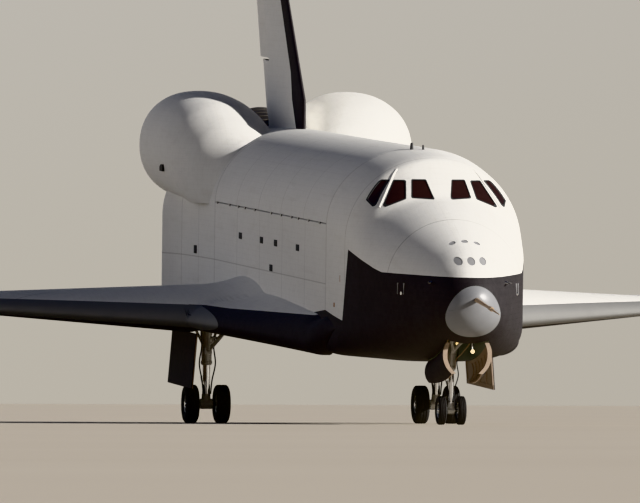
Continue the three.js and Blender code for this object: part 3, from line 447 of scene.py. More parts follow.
class Nodes:
    """A material's node tree, with short calls to add nodes and link them."""

    def __init__(self, name, roughness=0.7, metallic=0.0, **sockets):
        self.material = bpy.data.materials.new(name)
        self.material.use_nodes = True
        self.tree = self.material.node_tree
        self.shader = self.tree.nodes["Principled BSDF"]
        self.shader.inputs["Roughness"].default_value = roughness
        self.shader.inputs["Metallic"].default_value = metallic
        for k, v in sockets.items():
            self.shader.inputs[k.replace("_", " ")].default_value = v

    def add(self, kind, inputs=None, **settings):
        node = self.tree.nodes.new("ShaderNode" + kind)
        for k, v in settings.items():
            setattr(node, k, v)
        for k, v in (inputs or {}).items():
            if isinstance(v, bpy.types.NodeSocket):
                self.tree.links.new(v, node.inputs[k])
            else:
                node.inputs[k].default_value = v
        return node

    def math(self, operation, a, b=0.0, c=None):
        inputs = {0: a, 1: b} if c is None else {0: a, 1: b, 2: c}
        return self.add("Math", inputs, operation=operation).outputs[0]

    def times(self, a, b):
        return self.math("MULTIPLY", a, b)

    def plus(self, a, b):
        return self.math("ADD", a, b)

    def below(self, a, b):
        return self.math("LESS_THAN", a, b)

    def either(self, a, b):
        return self.math("MAXIMUM", a, b)

    def mix(self, factor, a, b):
        node = self.add("Mix", {0: factor}, data_type="RGBA")
        for socket, v in ((node.inputs[6], a), (node.inputs[7], b)):
            if isinstance(v, bpy.types.NodeSocket):
                self.tree.links.new(v, socket)
            else:
                socket.default_value = (*v, 1.0)
        return node.outputs[2]

    def noise(self, where, scale, detail=3.0, rough=0.5):
        return self.add("TexNoise", {"Vector": where, "Scale": scale, "Detail": detail,
                                     "Roughness": rough}).outputs[0]

    def ramp(self, value, low, high):
        """0 below low, 1 above high."""
        return self.add("MapRange", {"Value": value, "From Min": low, "From Max": high}).outputs[0]

    def airframe(self):
        """The airframe's own x, y and z in metres, as a vector and as three sockets."""
        at = self.add("TexCoord").outputs["Object"]
        turned_back = self.add("Mapping", {"Vector": at, "Location": (0, -MIDDLE_STATION / 1000, LIFT / 1000),
                                           "Rotation": (PITCH, 0, 0)}, vector_type="TEXTURE").outputs[0]
        parts = self.add("SeparateXYZ", {0: turned_back})
        return turned_back, parts.outputs

    def colour(self, socket):
        self.tree.links.new(socket, self.shader.inputs["Base Color"])

    def rough(self, value, low, high):
        """Roughness from low to high, as the value goes from 0 to 1."""
        spread = self.add("MapRange", {"Value": value, "To Min": low, "To Max": high}).outputs[0]
        self.tree.links.new(spread, self.shader.inputs["Roughness"])

    def bump(self, height, distance, strength=0.6):
        n = self.add("Bump", {"Height": height, "Distance": distance, "Strength": strength})
        self.tree.links.new(n.outputs[0], self.shader.inputs["Normal"])

    def lines(self, value, pitch, width):
        """1 on a thin line at each multiple of pitch."""
        part = self.math("FRACT", self.math("DIVIDE", value, pitch))
        return self.below(self.math("ABSOLUTE", self.math("SUBTRACT", part, 0.5)), width / pitch / 2)

    def facing(self):
        """The three parts of the surface's own direction."""
        return self.add("SeparateXYZ", {0: self.add("TexCoord").outputs["Normal"]}).outputs

    def tiles(self, vector, xyz, pitch=0.152, width=0.006):
        """Square tiles: a mask of their gaps, and a random value for each tile."""
        facing = self.facing()
        gap = None
        for k in range(3):
            flat = self.below(self.math("ABSOLUTE", facing[k]), 0.72)
            line = self.times(self.lines(xyz[k], pitch, width), flat)
            gap = line if gap is None else self.either(gap, line)
        cell = self.add("VectorMath", {0: vector, 1: (1 / pitch,) * 3}, operation="MULTIPLY").outputs[0]
        cell = self.add("VectorMath", {0: cell}, operation="FLOOR").outputs[0]
        value = self.add("TexWhiteNoise", {"Vector": cell}, noise_dimensions="3D").outputs["Value"]
        return gap, value

    def points(self, value, points):
        """A curve through (value, result) points with straight runs."""
        total = None
        for (x0, y0), (x1, y1) in zip(points, points[1:]):
            step = self.add("MapRange", {"Value": value, "From Min": x0, "From Max": x1, "To Min": 0.0,
                                         "To Max": y1 - y0}).outputs[0]
            total = step if total is None else self.plus(total, step)
        return self.plus(total, points[0][1])


WHITE = (0.80, 0.79, 0.765)
BLACK = (0.034, 0.031, 0.034)


def tint(colour, by):
    return tuple(min(1, c * by) for c in colour)


def seam_mask(n, value, places, width=0.035):
    """1 on thin lines where the value is one of the places."""
    total = None
    for place in places:
        line = n.math("COMPARE", value, place, width / 2)
        total = line if total is None else n.either(total, line)
    return total


def coat(name, mask=None, white=WHITE, seams=()):
    """Matt tile and felt coat. mask(nodes, xyz) gives 1 where the coat is black; seams are (axis, places)."""
    n = Nodes(name, roughness=0.75, Specular_IOR_Level=0.3)
    vector, xyz = n.airframe()
    gap, tone = n.tiles(vector, xyz)
    grime = n.noise(vector, 0.9, 5.0, 0.6)
    fine = n.noise(vector, 14.0, 4.0, 0.6)
    streak = n.noise(n.add("Mapping", {"Vector": vector, "Scale": (3.0, 0.35, 3.0)}).outputs[0], 1.4, 4.0)
    shade = n.plus(n.times(tone, 0.35), n.times(grime, 0.65))
    pale = n.mix(shade, tint(white, 0.955), tint(white, 1.035))
    pale = n.mix(n.times(n.ramp(streak, 0.56, 0.8), 0.16), pale, (0.52, 0.49, 0.44))
    pale = n.mix(n.times(gap, 0.16), pale, (0.45, 0.43, 0.41))
    for axis, places in seams:
        line = seam_mask(n, xyz["xyz".index(axis)], places)
        pale = n.mix(n.times(line, 0.42), pale, (0.33, 0.31, 0.29))
    dark = n.mix(n.plus(n.times(tone, 0.6), n.times(fine, 0.4)), tint(BLACK, 0.85), tint(BLACK, 1.25))
    dark = n.mix(n.times(gap, 0.6), dark, (0.018, 0.016, 0.018))
    if mask is None:
        n.colour(pale)
    elif mask == "black":
        n.colour(dark)
    else:
        n.colour(n.mix(mask(n, xyz), pale, dark))
    n.rough(fine, 0.62, 0.82)
    n.bump(n.math("SUBTRACT", n.times(fine, 0.25), gap), 0.004, 0.5)
    return n.material


def forward_mask(n, xyz):
    """The black lower nose, which rises to a sharp corner on each side and then follows the wing's glove."""
    edge = n.points(xyz[1], [(0.0, -0.83), (3.75, -0.815), (4.285, -0.719), (4.771, -0.604), (5.542, -0.431),
                             (6.304, -0.276), (6.79, -2.31), (7.289, -2.255), (8.838, -2.09)])
    return n.below(xyz[2], edge)


def body_mask(n, xyz):
    """The black belly, up to the wing."""
    return n.below(xyz[2], n.points(xyz[1], [(8.838, -2.09), (14.0, -2.5), (30.0, -2.6)]))


def wing_mask(n, xyz):
    """The black underside: what faces down, and the glove's rounded edge below a line along its top."""
    down = n.below(n.facing()[2], -0.25)
    ahead = n.below(xyz[1], 20.3)
    low = n.below(xyz[2], n.points(xyz[1], [(6.8, -2.2), (8.7, -2.15), (10.0, -2.29), (17.5, -2.42)]))
    return n.either(down, n.times(ahead, low))


DOOR_SEAMS = (8.87, 12.518, 16.186, 19.854, 23.522, 27.17)
BODY_SEAMS = (8.86, 12.2, 15.9, 19.6, 23.4, 27.18, 27.24, 29.3, 31.2)
WHITE_COAT = coat("white_coat")
BLACK_COAT = coat("black_coat", "black")
DOOR_COAT = coat("door_coat", seams=[("y", DOOR_SEAMS)])
FORWARD_COAT = coat("forward_coat", forward_mask, seams=[("y", (3.4, 6.62, 8.81))])
BODY_COAT = coat("body_coat", body_mask, seams=[("y", BODY_SEAMS), ("z", (-1.35,))])
POD_COAT = coat("pod_coat", seams=[("y", (33.5,))])
WING_COAT = coat("wing_coat", wing_mask, seams=[("y", (24.7, 28.4))])
# The elevons' white is greyer than the wing's: painted shade that darkens their tops as if a shadow lay on
# them
ELEVON_SHADED_COAT = coat("elevon_shaded_coat", wing_mask, white=(0.56, 0.56, 0.57))


def plain(name, colour, roughness, metallic=0.0, vary=0.12, scale=6.0, bump=0.0, **sockets):
    """A surface of one colour that varies softly, with a fine grain."""
    n = Nodes(name, roughness, metallic, **sockets)
    vector, _ = n.airframe()
    soft = n.noise(vector, scale, 4.0, 0.6)
    fine = n.noise(vector, scale * 14, 3.0, 0.6)
    both = n.plus(n.times(soft, 0.7), n.times(fine, 0.3))
    n.colour(n.mix(both, tint(colour, 1 - vary), tint(colour, 1 + vary)))
    n.rough(fine, max(0.02, roughness - 0.08), min(1, roughness + 0.08))
    if bump:
        n.bump(fine, bump)
    return n.material


NOSE_CAP = plain("nose_cap_grey", (0.235, 0.24, 0.255), 0.38, vary=0.12, scale=3.0, bump=0.001)
EDGE = plain("edge_grey", (0.2, 0.2, 0.198), 0.6, vary=0.1, scale=2.0, bump=0.002)
INSIDE = plain("cabin_paint", (0.27, 0.30, 0.275), 0.7, vary=0.2, scale=2.0, bump=0.002)


def quilt(name, colour, pitch, breaks):
    """Panels with lines round the bay's axis, at a pitch in radians, and joints along the craft."""
    n = Nodes(name, roughness=0.5)
    vector, xyz = n.airframe()
    soft = n.noise(vector, 1.5, 4.0, 0.6)
    around = n.math("ARCTAN2", xyz[0], xyz[2])
    lines = n.either(n.lines(around, pitch, pitch * 0.14), n.lines(xyz[1], breaks, 0.03))
    base = n.mix(soft, tint(colour, 0.9), tint(colour, 1.08))
    n.colour(n.mix(n.times(lines, 0.5), base, tint(colour, 0.45)))
    n.rough(soft, 0.4, 0.6)
    n.bump(n.math("SUBTRACT", 1.0, lines), 0.006, 0.5)
    return n.material


LINER = quilt("bay_liner", (0.56, 0.55, 0.51), 0.131, 0.72)
BAY_RIB = plain("bay_rib", (0.40, 0.40, 0.37), 0.5, 0.2, vary=0.15, scale=4.0)
RADIATOR = quilt("radiator", (0.62, 0.63, 0.64), 0.052, 4.58)
SEAT = plain("seat_fabric", (0.045, 0.05, 0.04), 0.9, vary=0.3, scale=40.0, bump=0.003)
BELL = plain("bell_metal", (0.16, 0.15, 0.14), 0.42, 0.85, vary=0.3, scale=2.0, bump=0.001)
DOME = plain("engine_dome", (0.50, 0.49, 0.46), 0.7, vary=0.2, scale=3.0, bump=0.003)
BOOM = plain("boom_paint", (0.46, 0.34, 0.23), 0.5, vary=0.2, scale=8.0)
STRUT = plain("strut_paint", (0.62, 0.61, 0.58), 0.4, 0.15, vary=0.2, scale=5.0)
CHROME = plain("piston_chrome", (0.72, 0.72, 0.72), 0.14, 1.0, vary=0.05)
RUBBER = plain("tyre_rubber", (0.022, 0.021, 0.021), 0.85, vary=0.3, scale=20.0, bump=0.002)
HUB = plain("hub_alloy", (0.45, 0.45, 0.44), 0.38, 0.8, vary=0.15, scale=10.0)
# Near-black slats for the vents: painted shade that stands in for the depth of a recessed opening
VENT_SHADE = plain("vent_slat_shade", (0.012, 0.012, 0.014), 0.6)
ORANGE = plain("ground_mark", (0.42, 0.24, 0.13), 0.6, vary=0.3, scale=12.0)
LAMP = plain("lamp_glass", (0.9, 0.75, 0.45), 0.15, Emission_Color=(1.0, 0.72, 0.32, 1.0),
             Emission_Strength=1.6)
DOOR_OUT = coat("door_black", "black")
DOOR_IN = plain("door_inner", (0.34, 0.265, 0.205), 0.6, vary=0.35, scale=3.0, bump=0.004)
PORT = plain("thruster_port", (0.30, 0.30, 0.31), 0.5, vary=0.2)
SEAL = plain("seal_grey", (0.035, 0.035, 0.037), 0.7)
GLASS = plain("window_glass", (0.032, 0.021, 0.021), 0.08, vary=0.3, Specular_IOR_Level=0.3)


def stand(obj, node=None, body="airframe"):
    """obj rides on a body, and may stand in for a CAD node, which is then hidden."""
    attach(obj, body)
    if node:
        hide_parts(node)


# Forward fuselage, nose cap, thruster module and hatch

forward_rows = sections(FORWARD, np.linspace(0, sqrt(FORWARD_END), 170) ** 2)
forward_grid = body_grid(forward_rows)
forward_skin = Skin(forward_grid)
forward_solid = loft("forward_solid", forward_grid, sharp=None)
GAP = 3
SMOOTH = 0.02  # metres: what of a large skin lies this near to its surface is its outside


def surface_x(y, z):
    """Half width of the forward fuselage at a station and height."""
    _, half, top, high, low, bottom, up, down = sections(FORWARD, [y])[0]
    if z > high:
        return half * max(0.0, 1 - ((z - high) / (top - high)) ** up) ** (1 / up)
    if z < low:
        return half * max(0.0, 1 - ((low - z) / (low - bottom)) ** down) ** (1 / down)
    return half


def nose_rim(shift):
    """What lies ahead of the nose cap's rear edge, moved aft by a shift."""
    (top, z0), (bottom, z1) = NOSE_RIM
    return prism("x", [(-4000, z0), (top + shift, z0), (bottom + shift, z1), (-4000, z1)], -2000, 2000)


def module_tool(grow):
    """The block of the thruster module, grown forwards, aft and down."""
    (y0, z0), (y1, z1) = MODULE["corners"]
    return prism("x", [(y0 - grow, z0 - grow), (y1 + grow, z1 - grow), (y1 + grow, MODULE["top"]),
                       (y0 - grow, MODULE["top"])], -2500, 2500)


def cabin_tool():
    """The hollow of the cabin, inside the fuselage's wall and above its floor."""
    rows = sections(FORWARD, np.linspace(CABIN["y0"], CABIN["y1"], 60))
    tool = loft("cabin", body_grid(rows, -CABIN["wall"], 20, 4, 14), sharp=None)
    return carve(tool, block((-3000, 3000), (4000, 9000), (CABIN["floor"], 3000)), keep=True)


def hatch_rod(grow):
    """A rod through the crew hatch's opening, grown by a distance."""
    y, z = HATCH["y"], HATCH["z"]
    return rod((1500, y, z), (3000, y, z), HATCH["radius"] + grow, count=64)


def port_rods(shrink, back, top):
    """Rods through the three front ports, as far aft as back, and the three upper ports, from top down."""
    y0, z0, r0 = FRONT_PORT.values()
    y1, z1, r1 = UPPER_PORT.values()
    return ([rod((x, y0, z0), (x, back, z0), r0 - shrink) for x in THRUSTER_X]
            + [rod((x, y1, top), (x, y1, z1), r1 - shrink) for x in THRUSTER_X])


def well_tool(well, side):
    """A box through a wheel well's opening."""
    x0, x1, y0, y1, below, roof = well.values()
    return block((side * x0, side * x1), (y0, y1), (below, roof))


def pane_tool(s, which, grow=0.0):
    """A prism through one window opening, grown by a distance."""
    if which == "side":
        return prism("x", rounded(grown(SIDE_PANE, grow), PANE_CORNER), s * 1250, s * 2600)
    outline = [(s * x, z) for x, z in FRONT_PANES[which]]
    return prism("y", rounded(grown(outline, grow), PANE_CORNER), 4900, 6900)


nose_cap = carve(duplicate(forward_solid, "nose_cap_skin"), nose_rim(-GAP), keep=True)
stand(dress(nose_cap, forward_skin, NOSE_CAP, SEAL, SMOOTH), "nose_cap")

module = carve(duplicate(forward_solid, "thruster_module_skin"), module_tool(-GAP), keep=True)
carve(module, *port_rods(0, 1250, 500))
stand(dress(module, forward_skin, FORWARD_COAT, PORT, 0.012), "forward_thruster_module")
cover = loft("port_cover", body_grid(sections(FORWARD, np.linspace(560, 2600, 60)), -16), sharp=None)
covers = [paint(carve(duplicate(cover, "port_cover"), tool, keep=True), PORT)
          for tool in port_rods(2, 1500, 700)]
remove(cover)
stand(join("thruster_port_covers", covers))

shell = duplicate(forward_solid, "forward_fuselage_skin")
PANES = [(side, s, which) for side, s in SIDES.items() for which in (*FRONT_PANES, "side")]
carve(shell, cabin_tool())
carve(shell, nose_rim(GAP), module_tool(GAP), *[pane_tool(s, which) for _, s, which in PANES],
      hatch_rod(8), well_tool(NOSE_WELL, 1))
stand(dress(shell, forward_skin, FORWARD_COAT, INSIDE), "forward_fuselage")

brow = sections(FORWARD, np.linspace(4800, 7000, 60))
layers = {grow: loft(f"brow_{grow}", body_grid(brow, grow), sharp=None) for grow in (5, -14, -22, -44)}
for side, s, which in PANES:
    pane = carve(duplicate(layers[-14], f"window_{which}_{side}"), pane_tool(s, which, -2), keep=True)
    carve(pane, duplicate(layers[-44], "inner"))
    stand(paint(pane, GLASS), "windshield_glass")
    surround = carve(duplicate(layers[5], f"window_frame_{which}_{side}"), pane_tool(s, which, 24), keep=True)
    carve(surround, duplicate(layers[-22], "inner"), pane_tool(s, which, -7))
    stand(paint(surround, SEAL))
remove(*layers.values())

# The raised post between each outer and side pane, which runs up to the roof
for side, s in SIDES.items():
    foot = np.array([(FRONT_PANES["outer"][1][0] + surface_x(*SIDE_PANE[0])) / 2, SIDE_PANE[0][1] - 20])
    head = np.array([(FRONT_PANES["outer"][2][0] + surface_x(*SIDE_PANE[3])) / 2, SIDE_PANE[3][1]])
    path = []
    for t in np.linspace(0, 1.4, 8):
        x, z = foot + (head - foot) * t
        low, high = 4800.0, 8800.0
        for _ in range(24):
            y = (low + high) / 2
            low, high = (y, high) if surface_x(y, z) < x else (low, y)
        path.append((s * (x - 4 - 200 * max(0, t - 1.2)), y, z))
    stand(sweep(f"window_post_{side}", path, 34, WHITE_COAT))

hatch = carve(duplicate(forward_solid, "crew_hatch_skin"), hatch_rod(-2), keep=True)
carve(hatch, cabin_tool())
stand(dress(hatch, forward_skin, FORWARD_COAT, INSIDE), "crew_hatch", "crew_hatch")
remove(forward_solid)
wall = np.array([surface_x(HATCH["y"], HATCH["z"]) - 136, HATCH["y"], HATCH["z"]])
latches = [turned([(300, 20), (330, -34), (360, 20)], wall, (1, 0, 0), 48, STRUT, closed=False)]
for angle in (0.5, 2.6):
    spoke = np.array([0, cos(angle), sin(angle)]) * 300
    latches.append(rod(wall + spoke - (22, 0, 0), wall - spoke - (22, 0, 0), 20, count=16, finish=STRUT))
latches.append(rod(wall - (60, 0, 0), wall + (30, 0, 0), 60, 70, 32, CHROME))
stand(join("crew_hatch_latches", latches), body="crew_hatch")


# Mid fuselage: upright sides, belly and the round payload bay

def trough(y):
    """The mid fuselage's section: the forward fuselage's outline up to the sill, and the bay's round wall."""
    half = body_grid([FORWARD[-1]], 0, 36, 10, 24)[0][:72]
    outer = [(HALF, SILL)] + [(p[0], p[2]) for p in half if p[2] < 250]
    a0 = acos(SILL / BAY_RADIUS)
    arc = [(BAY_RADIUS * sin(a), BAY_RADIUS * cos(a)) for a in np.linspace(pi, a0, 40)]
    port = outer[:-1] + [(0.0, BELLY)]
    ring = port + [(-x, z) for x, z in port[:-1][::-1]]
    inner = [(-x, z) for x, z in arc[::-1]] + arc[1:]
    return [(x, y, z) for x, z in ring + inner]


middle = loft("mid_fuselage_skin", [trough(y) for y in np.linspace(FORWARD_END + 3, AFT_START - 3, 24)],
              (BODY_COAT, LINER), sharp=35)
BAY_POINT = row((0, 18000, 0))
for p in middle.data.polygons:
    x, y, z = p.center
    if p.area > 0 and abs(x) < BAY_RADIUS / 1000 - 0.006 and abs(p.normal.y) < 0.5:
        # the bay's own faces look towards its axis
        height = z - BAY_POINT[2] - (y - BAY_POINT[1]) * tan(PITCH)
        p.material_index = int(x * p.normal.x + height * p.normal.z < 0)
stand(middle, "mid_fuselage")


# Ribs and sill rails of the payload bay

def bay_arc(radius):
    start = acos((SILL - 60) / BAY_RADIUS)
    return [(radius * sin(a), radius * cos(a)) for a in np.linspace(start, 2 * pi - start, 60)]


rib_section = bay_arc(BAY_RADIUS + 8) + bay_arc(BAY_RADIUS - 46)[::-1]
ribs = [prism("y", rib_section, y - 26, y + 26, BAY_RIB) for y in np.linspace(10200, 25900, 12)]
ribs += [block((s * 2200, s * 2262), (FORWARD_END + 40, AFT_START - 40), (150, 215), BAY_RIB)
         for s in SIDES.values()]
stand(join("bay_ribs", ribs))

# Bulkheads of the payload bay: airlock hatch, two aft-facing windows, and stiffeners
front, behind = FORWARD_END + 4, AFT_START - 4
airlock = [(0, 0), (0, 70), (330, 84), (420, 70), (430, 20), (520, 20), (560, 60), (640, 60), (660, 0)]
parts = [turned(airlock, (0, front, -900), (0, 1, 0), 64, BAY_RIB, sharp=30),
         turned([(120, 80), (150, 110), (180, 80)], (0, front, -900), (0, 1, 0), 40, CHROME, closed=False)]
for x in (-520, 520):
    rim = rounded([(x - 230, 1180), (x + 230, 1180), (x + 190, 1620), (x - 190, 1620)], 60)
    glass = rounded([(x - 180, 1230), (x + 180, 1230), (x + 145, 1575), (x - 145, 1575)], 50)
    parts += [prism("y", rim, front, front + 26, SEAL), prism("y", glass, front + 10, front + 32, GLASS)]
for x in range(-1800, 1801, 450):
    reach = sqrt((BAY_RADIUS - 260) ** 2 - x * x)
    parts.append(block((x - 18, x + 18), (behind - 46, behind), (-reach, reach), BAY_RIB))
    if abs(x) > 700:
        parts.append(block((x - 18, x + 18), (front, front + 46), (-reach, reach), BAY_RIB))
for z in (-1300, -450, 400, 1250):
    reach = sqrt((BAY_RADIUS - 260) ** 2 - z * z)
    parts.append(block((-reach, reach), (behind - 36, behind), (z - 18, z + 18), BAY_RIB))
stand(join("bay_bulkheads", parts))

# Payload bay doors
y0, y1, shoulder, edge, thick, split = BAY_DOOR.values()
for side, s in SIDES.items():
    rings = []
    for y in np.linspace(y0, y1, 41):
        a = np.linspace(0.002, asin(0.9999), 40)
        outer = np.stack([HALF * np.sin(a), shoulder + (CREST - shoulder) * np.cos(a)], -1)
        outer[-1] = (HALF, edge)
        outer[0, 0] = split
        r = np.linalg.norm(outer, axis=1)[:, None]
        inner = (outer * (r - thick) / r)[::-1]
        inner[-1, 0], inner[0, 1] = split, edge
        rings.append([(s * x, y, z) for x, z in np.concatenate([outer, inner])])
    door = loft(f"payload_door_{side}_skin", rings, (DOOR_COAT, RADIATOR), sharp=35)
    for p in door.data.polygons:
        p.material_index = int(p.normal.z < -0.1 and p.area > 0)
    stand(door, f"payload_bay_door_{side}", f"payload_bay_door_{side}")

# Aft fuselage
rear = loft("aft_fuselage_skin", body_grid(sections(REAR, np.linspace(AFT_START, BASE, 60))), (BODY_COAT,),
            sharp=35)
foot = block((-3200, 3200), (BASE - 200, FLAP["y"] - 230), (-2960, -2500), BLACK_COAT)
stand(join("aft_fuselage_body", [rear, foot]), "aft_fuselage")


# Wings

def naca(c):
    """An aerofoil's thickness at a share of its chord, as a share of its thickest."""
    return 10 * (0.2969 * np.sqrt(c) - 0.126 * c - 0.3516 * c ** 2 + 0.2843 * c ** 3 - 0.1036 * c ** 4)


def lower_at(x):
    """Height of the wing's base plane, which rises outboard."""
    return WING_BASE + max(0, x - HALF) * DIHEDRAL


def main_edge(x):
    return LE_CENTRE + x


def ease(t):
    """0 up to 0 and 1 from 1, with a smooth rise between."""
    t = min(1.0, max(0.0, t))
    return t * t * (3 - 2 * t)


def half_at(y):
    """The fuselage's half width."""
    return float(sections(FORWARD, [min(y, FORWARD_END)])[0, 1])


def glove_edge(y):
    """How far out the glove reaches: it grows out of the fuselage's side, then runs straight."""
    out, t = (y - GLOVE_START) / GLOVE_SLOPE, ease((y - GLOVE_START) / GLOVE_EASE)
    return half_at(y) - 20 * (1 - t) + out * t


GLOVE_Y = np.linspace(GLOVE_START, GLOVE_START + GLOVE_EASE, 60)
GLOVE_X = np.array([glove_edge(y) for y in GLOVE_Y])


def leading_edge(x):
    if x <= GLOVE_X[-1]:
        return float(np.interp(x, GLOVE_X, GLOVE_Y))
    return GLOVE_START + (x - HALF) * GLOVE_SLOPE if x < KINK else main_edge(x)


def trailing_edge(x):
    return TE_CENTRE + TE_SLOPE * x


def wing_heights(x, y):
    """Heights of the lower and upper surface over the wing's base plane."""
    chord = trailing_edge(x) - main_edge(x)
    full = THICKNESS * chord
    c = (y - main_edge(x)) / chord
    low = high = None
    if c >= 0:
        g = max(naca(min(c, 1)), 0.012)
        low = 0.33 * full * (1 - g) if c < 0.3 else 0.0
        high = 0.33 * full + 0.67 * full * g if c < 0.3 else full * g
    edge, root = glove_edge(y), half_at(y) - 150
    u = min(1.0, max(0.0, (x - root) / (edge - root))) if x <= edge + 1 else 2.0
    if u <= 1 and y < 24000:
        tall = (520 + 660 * min(1, (y - GLOVE_START) / 3200)) * (0.05 + 0.95 * ease((y - GLOVE_START) / 1900))
        r = sqrt(max(0.0, 1 - u * u))
        l2, h2 = 0.35 * tall * (1 - r), 0.35 * tall + 0.65 * tall * r
        if low is None:
            low, high = l2, h2
        else:
            low, high = min(low, l2), max(high, h2)
    swell = ease((y - 8800) / 9000) * ease((29200 - y) / 8000)
    return low, high + FILLET[1] * swell * max(0.0, 1 - max(0.0, x - HALF) / FILLET[0]) ** 2


def base_at(x, y):
    """The wing's base plane, which starts higher up the fuselage's corner at the front of the glove."""
    return lower_at(x) + 900 * (1 - ease((y - GLOVE_START) / 3000))


SHARES = np.concatenate([np.linspace(0, 1, 40)[1:] ** 2 * 0.5, np.linspace(0.5, 1, 26)[1:]])


def wing_ring(x, s, rear):
    """The wing's section at a span, from its leading edge over the top to the rear and back below."""
    le = leading_edge(x)
    nose = sum(wing_heights(x, le + 1)) / 2
    ys = le + (rear - le) * SHARES
    low, high = zip(*(wing_heights(x, y) for y in ys))
    points = [(le, nose), *zip(ys, high), *zip(ys[::-1], low[::-1])]
    return [(s * x, y, base_at(x, y) + height) for y, height in points]


def hinge_thickness(x):
    chord = trailing_edge(x) - main_edge(x)
    return THICKNESS * chord * naca((ELEVON_HINGE - main_edge(x)) / chord)


def hinge_line(x0, x1, s):
    """The ends of an elevon's hinge line, and the radius of its nose at each."""
    a, b = (np.array([s * x, ELEVON_HINGE, lower_at(x) + hinge_thickness(x) / 2]) for x in (x0, x1))
    return a, b, *(hinge_thickness(x) / 2 - 22 for x in (x0, x1))


ELEVONS = {"inboard": (ELEVON_INBOARD, ELEVON_SPLIT - ELEVON_GAP),
           "outboard": (ELEVON_SPLIT + ELEVON_GAP, TIP)}
SPAN = np.concatenate([np.linspace(2350, 3100, 50), np.linspace(3120, 4300, 32), np.linspace(4325, KINK, 18),
                       np.linspace(KINK + 25, 5400, 26), np.linspace(5500, TIP, 62)])
for side, s in SIDES.items():
    rings = [wing_ring(x, s, ELEVON_HINGE - 0.165 * hinge_thickness(x) - 10) for x in SPAN]
    wing = loft(f"wing_{side}_skin", rings, sharp=None)
    tools = []
    for x0, x1 in ELEVONS.values():
        a, b, r0, r1 = hinge_line(x0, x1, s)
        d = unit(b - a)
        tools.append(rod(a - d * 8, b + d * 400, r0 + 8, r1 + 8, 48))
    tools.append(well_tool(MAIN_WELL, s))
    band = [(s * x, main_edge(x) + behind) for x, behind in EDGE_OUTLINE]
    edge = carve(duplicate(wing, f"leading_edge_{side}_skin"), prism("z", band, -6000, 0), keep=True)
    carve(wing, prism("z", grown(band, GAP), -6001, 1), *tools)
    skin = Skin(np.array(rings))
    stand(dress(wing, skin, WING_COAT, SEAL, SMOOTH), f"wing_{side}")
    stand(dress(edge, skin, EDGE, SEAL, SMOOTH), f"wing_leading_edge_{side}")

    # The stub behind the wing, between the fuselage and the inboard elevon
    ys = np.linspace(28800, 32100, 24)
    stub = []
    for x in (2350, 2700, 3050, 3400):
        top = [(s * x, y, lower_at(x) + wing_heights(x, y)[1]) for y in ys]
        low = [(s * x, y, lower_at(x) + wing_heights(x, y)[0] + 2) for y in ys[::-1]]
        stub.append(top + low)
    stand(loft(f"wing_stub_{side}", stub, (WING_COAT,), sharp=35))

    for where, (x0, x1) in ELEVONS.items():
        a, b, r0, r1 = hinge_line(x0, x1, s)
        d = unit(b - a)
        up = unit(np.array([0, 0, 1]) - d * d[2])
        tilt = radians(ELEVON_REST)
        rings = []
        for t in np.linspace(0, 1, 12):
            x, centre, radius = x0 + (x1 - x0) * t, a + (b - a) * t, r0 + (r1 - r0) * t
            length = trailing_edge(x) - ELEVON_HINGE
            pts = [(radius * cos(q), radius * sin(q)) for q in np.linspace(pi / 2, 1.5 * pi, 28)]
            pts += [(length * q, -(radius * (1 - q) + 14 * q) * (1 - 0.04 * sin(pi * q)))
                    for q in np.linspace(0, 1, 10)[1:]]
            pts += [(px, -pz) for px, pz in pts[:27:-1]]
            rings.append([centre + np.array([0, p * cos(tilt) - q * sin(tilt), 0])
                          + up * (p * sin(tilt) + q * cos(tilt)) for p, q in pts])
        panel = loft(f"elevon_{where}_{side}_skin", rings, (ELEVON_SHADED_COAT,), sharp=35)
        stand(panel, f"elevon_{where}_{side}", f"elevon_{where}_{side}")

# Body flap
outline = [(FLAP["y"] + FLAP["nose"] * cos(q), FLAP["z"] + FLAP["nose"] * sin(q))
           for q in np.linspace(pi / 2, 1.5 * pi, 24)]
outline += [(FLAP["end"], FLAP["z"] - 110), (FLAP["end"], FLAP["z"] - 60)]
rings = [[(x, y, z) for y, z in outline] for x in np.linspace(-FLAP["half"], FLAP["half"], 9)]
stand(loft("body_flap_skin", rings, (BLACK_COAT,), sharp=35), "body_flap", "body_flap")


# Fin, rudder and speed brake

def fin_at(z):
    """The fin's leading edge, trailing edge, hinge and half width at a height."""
    t = (z - FIN_ROOT[0]) / (FIN_TIP[0] - FIN_ROOT[0])
    le, te = FIN_ROOT[1] + (FIN_TIP[1] - FIN_ROOT[1]) * t, FIN_ROOT[2] + (FIN_TIP[2] - FIN_ROOT[2]) * t
    return le, te, le + FIN_HINGE * (te - le), FIN_HALF * (te - le)


# share of the chord, share of the half width
FIN_PROFILE = np.array([(0, 0.02), (0.005, 0.1), (0.02, 0.2), (0.12, 0.44), (0.35, 0.82), (0.6, 1.0),
                        (0.8, 0.55), (1, 0.06)])
fin_shares = np.concatenate([np.linspace(0, 1, 24) ** 2 * 0.3, np.linspace(0.3, 1, 24)[1:]])
fin_widths = smooth(FIN_PROFILE[:, 0], FIN_PROFILE[:, 1:], fin_shares)[:, 0]
rings = []
for z in np.concatenate([np.linspace(CREST - 260, 3400, 12), np.linspace(3500, FIN_TIP[0], 40)]):
    le, te, _, half = fin_at(z)
    if z < 3450:
        le = max(le, AFT_START + 30)
    port = [(w * half, le + (te - le) * c, z) for c, w in zip(fin_shares, fin_widths)]
    rings.append(port + [(-x, y, q) for x, y, q in port[::-1]])
fin_skin = Skin(np.array(rings))
fin = loft("fin_skin", rings, sharp=None)
foot_of_hinge, head_of_hinge = (np.array([0, fin_at(z)[2], z]) for z in RUDDER)
HINGE_SPAN = np.linalg.norm(head_of_hinge - foot_of_hinge)
ALONG = unit(head_of_hinge - foot_of_hinge)
AFT = np.array([0, ALONG[2], -ALONG[1]])


def cove_radius(z):
    """Radius of the rudder's rounded front at a height."""
    return fin_at(z)[3] * 0.8


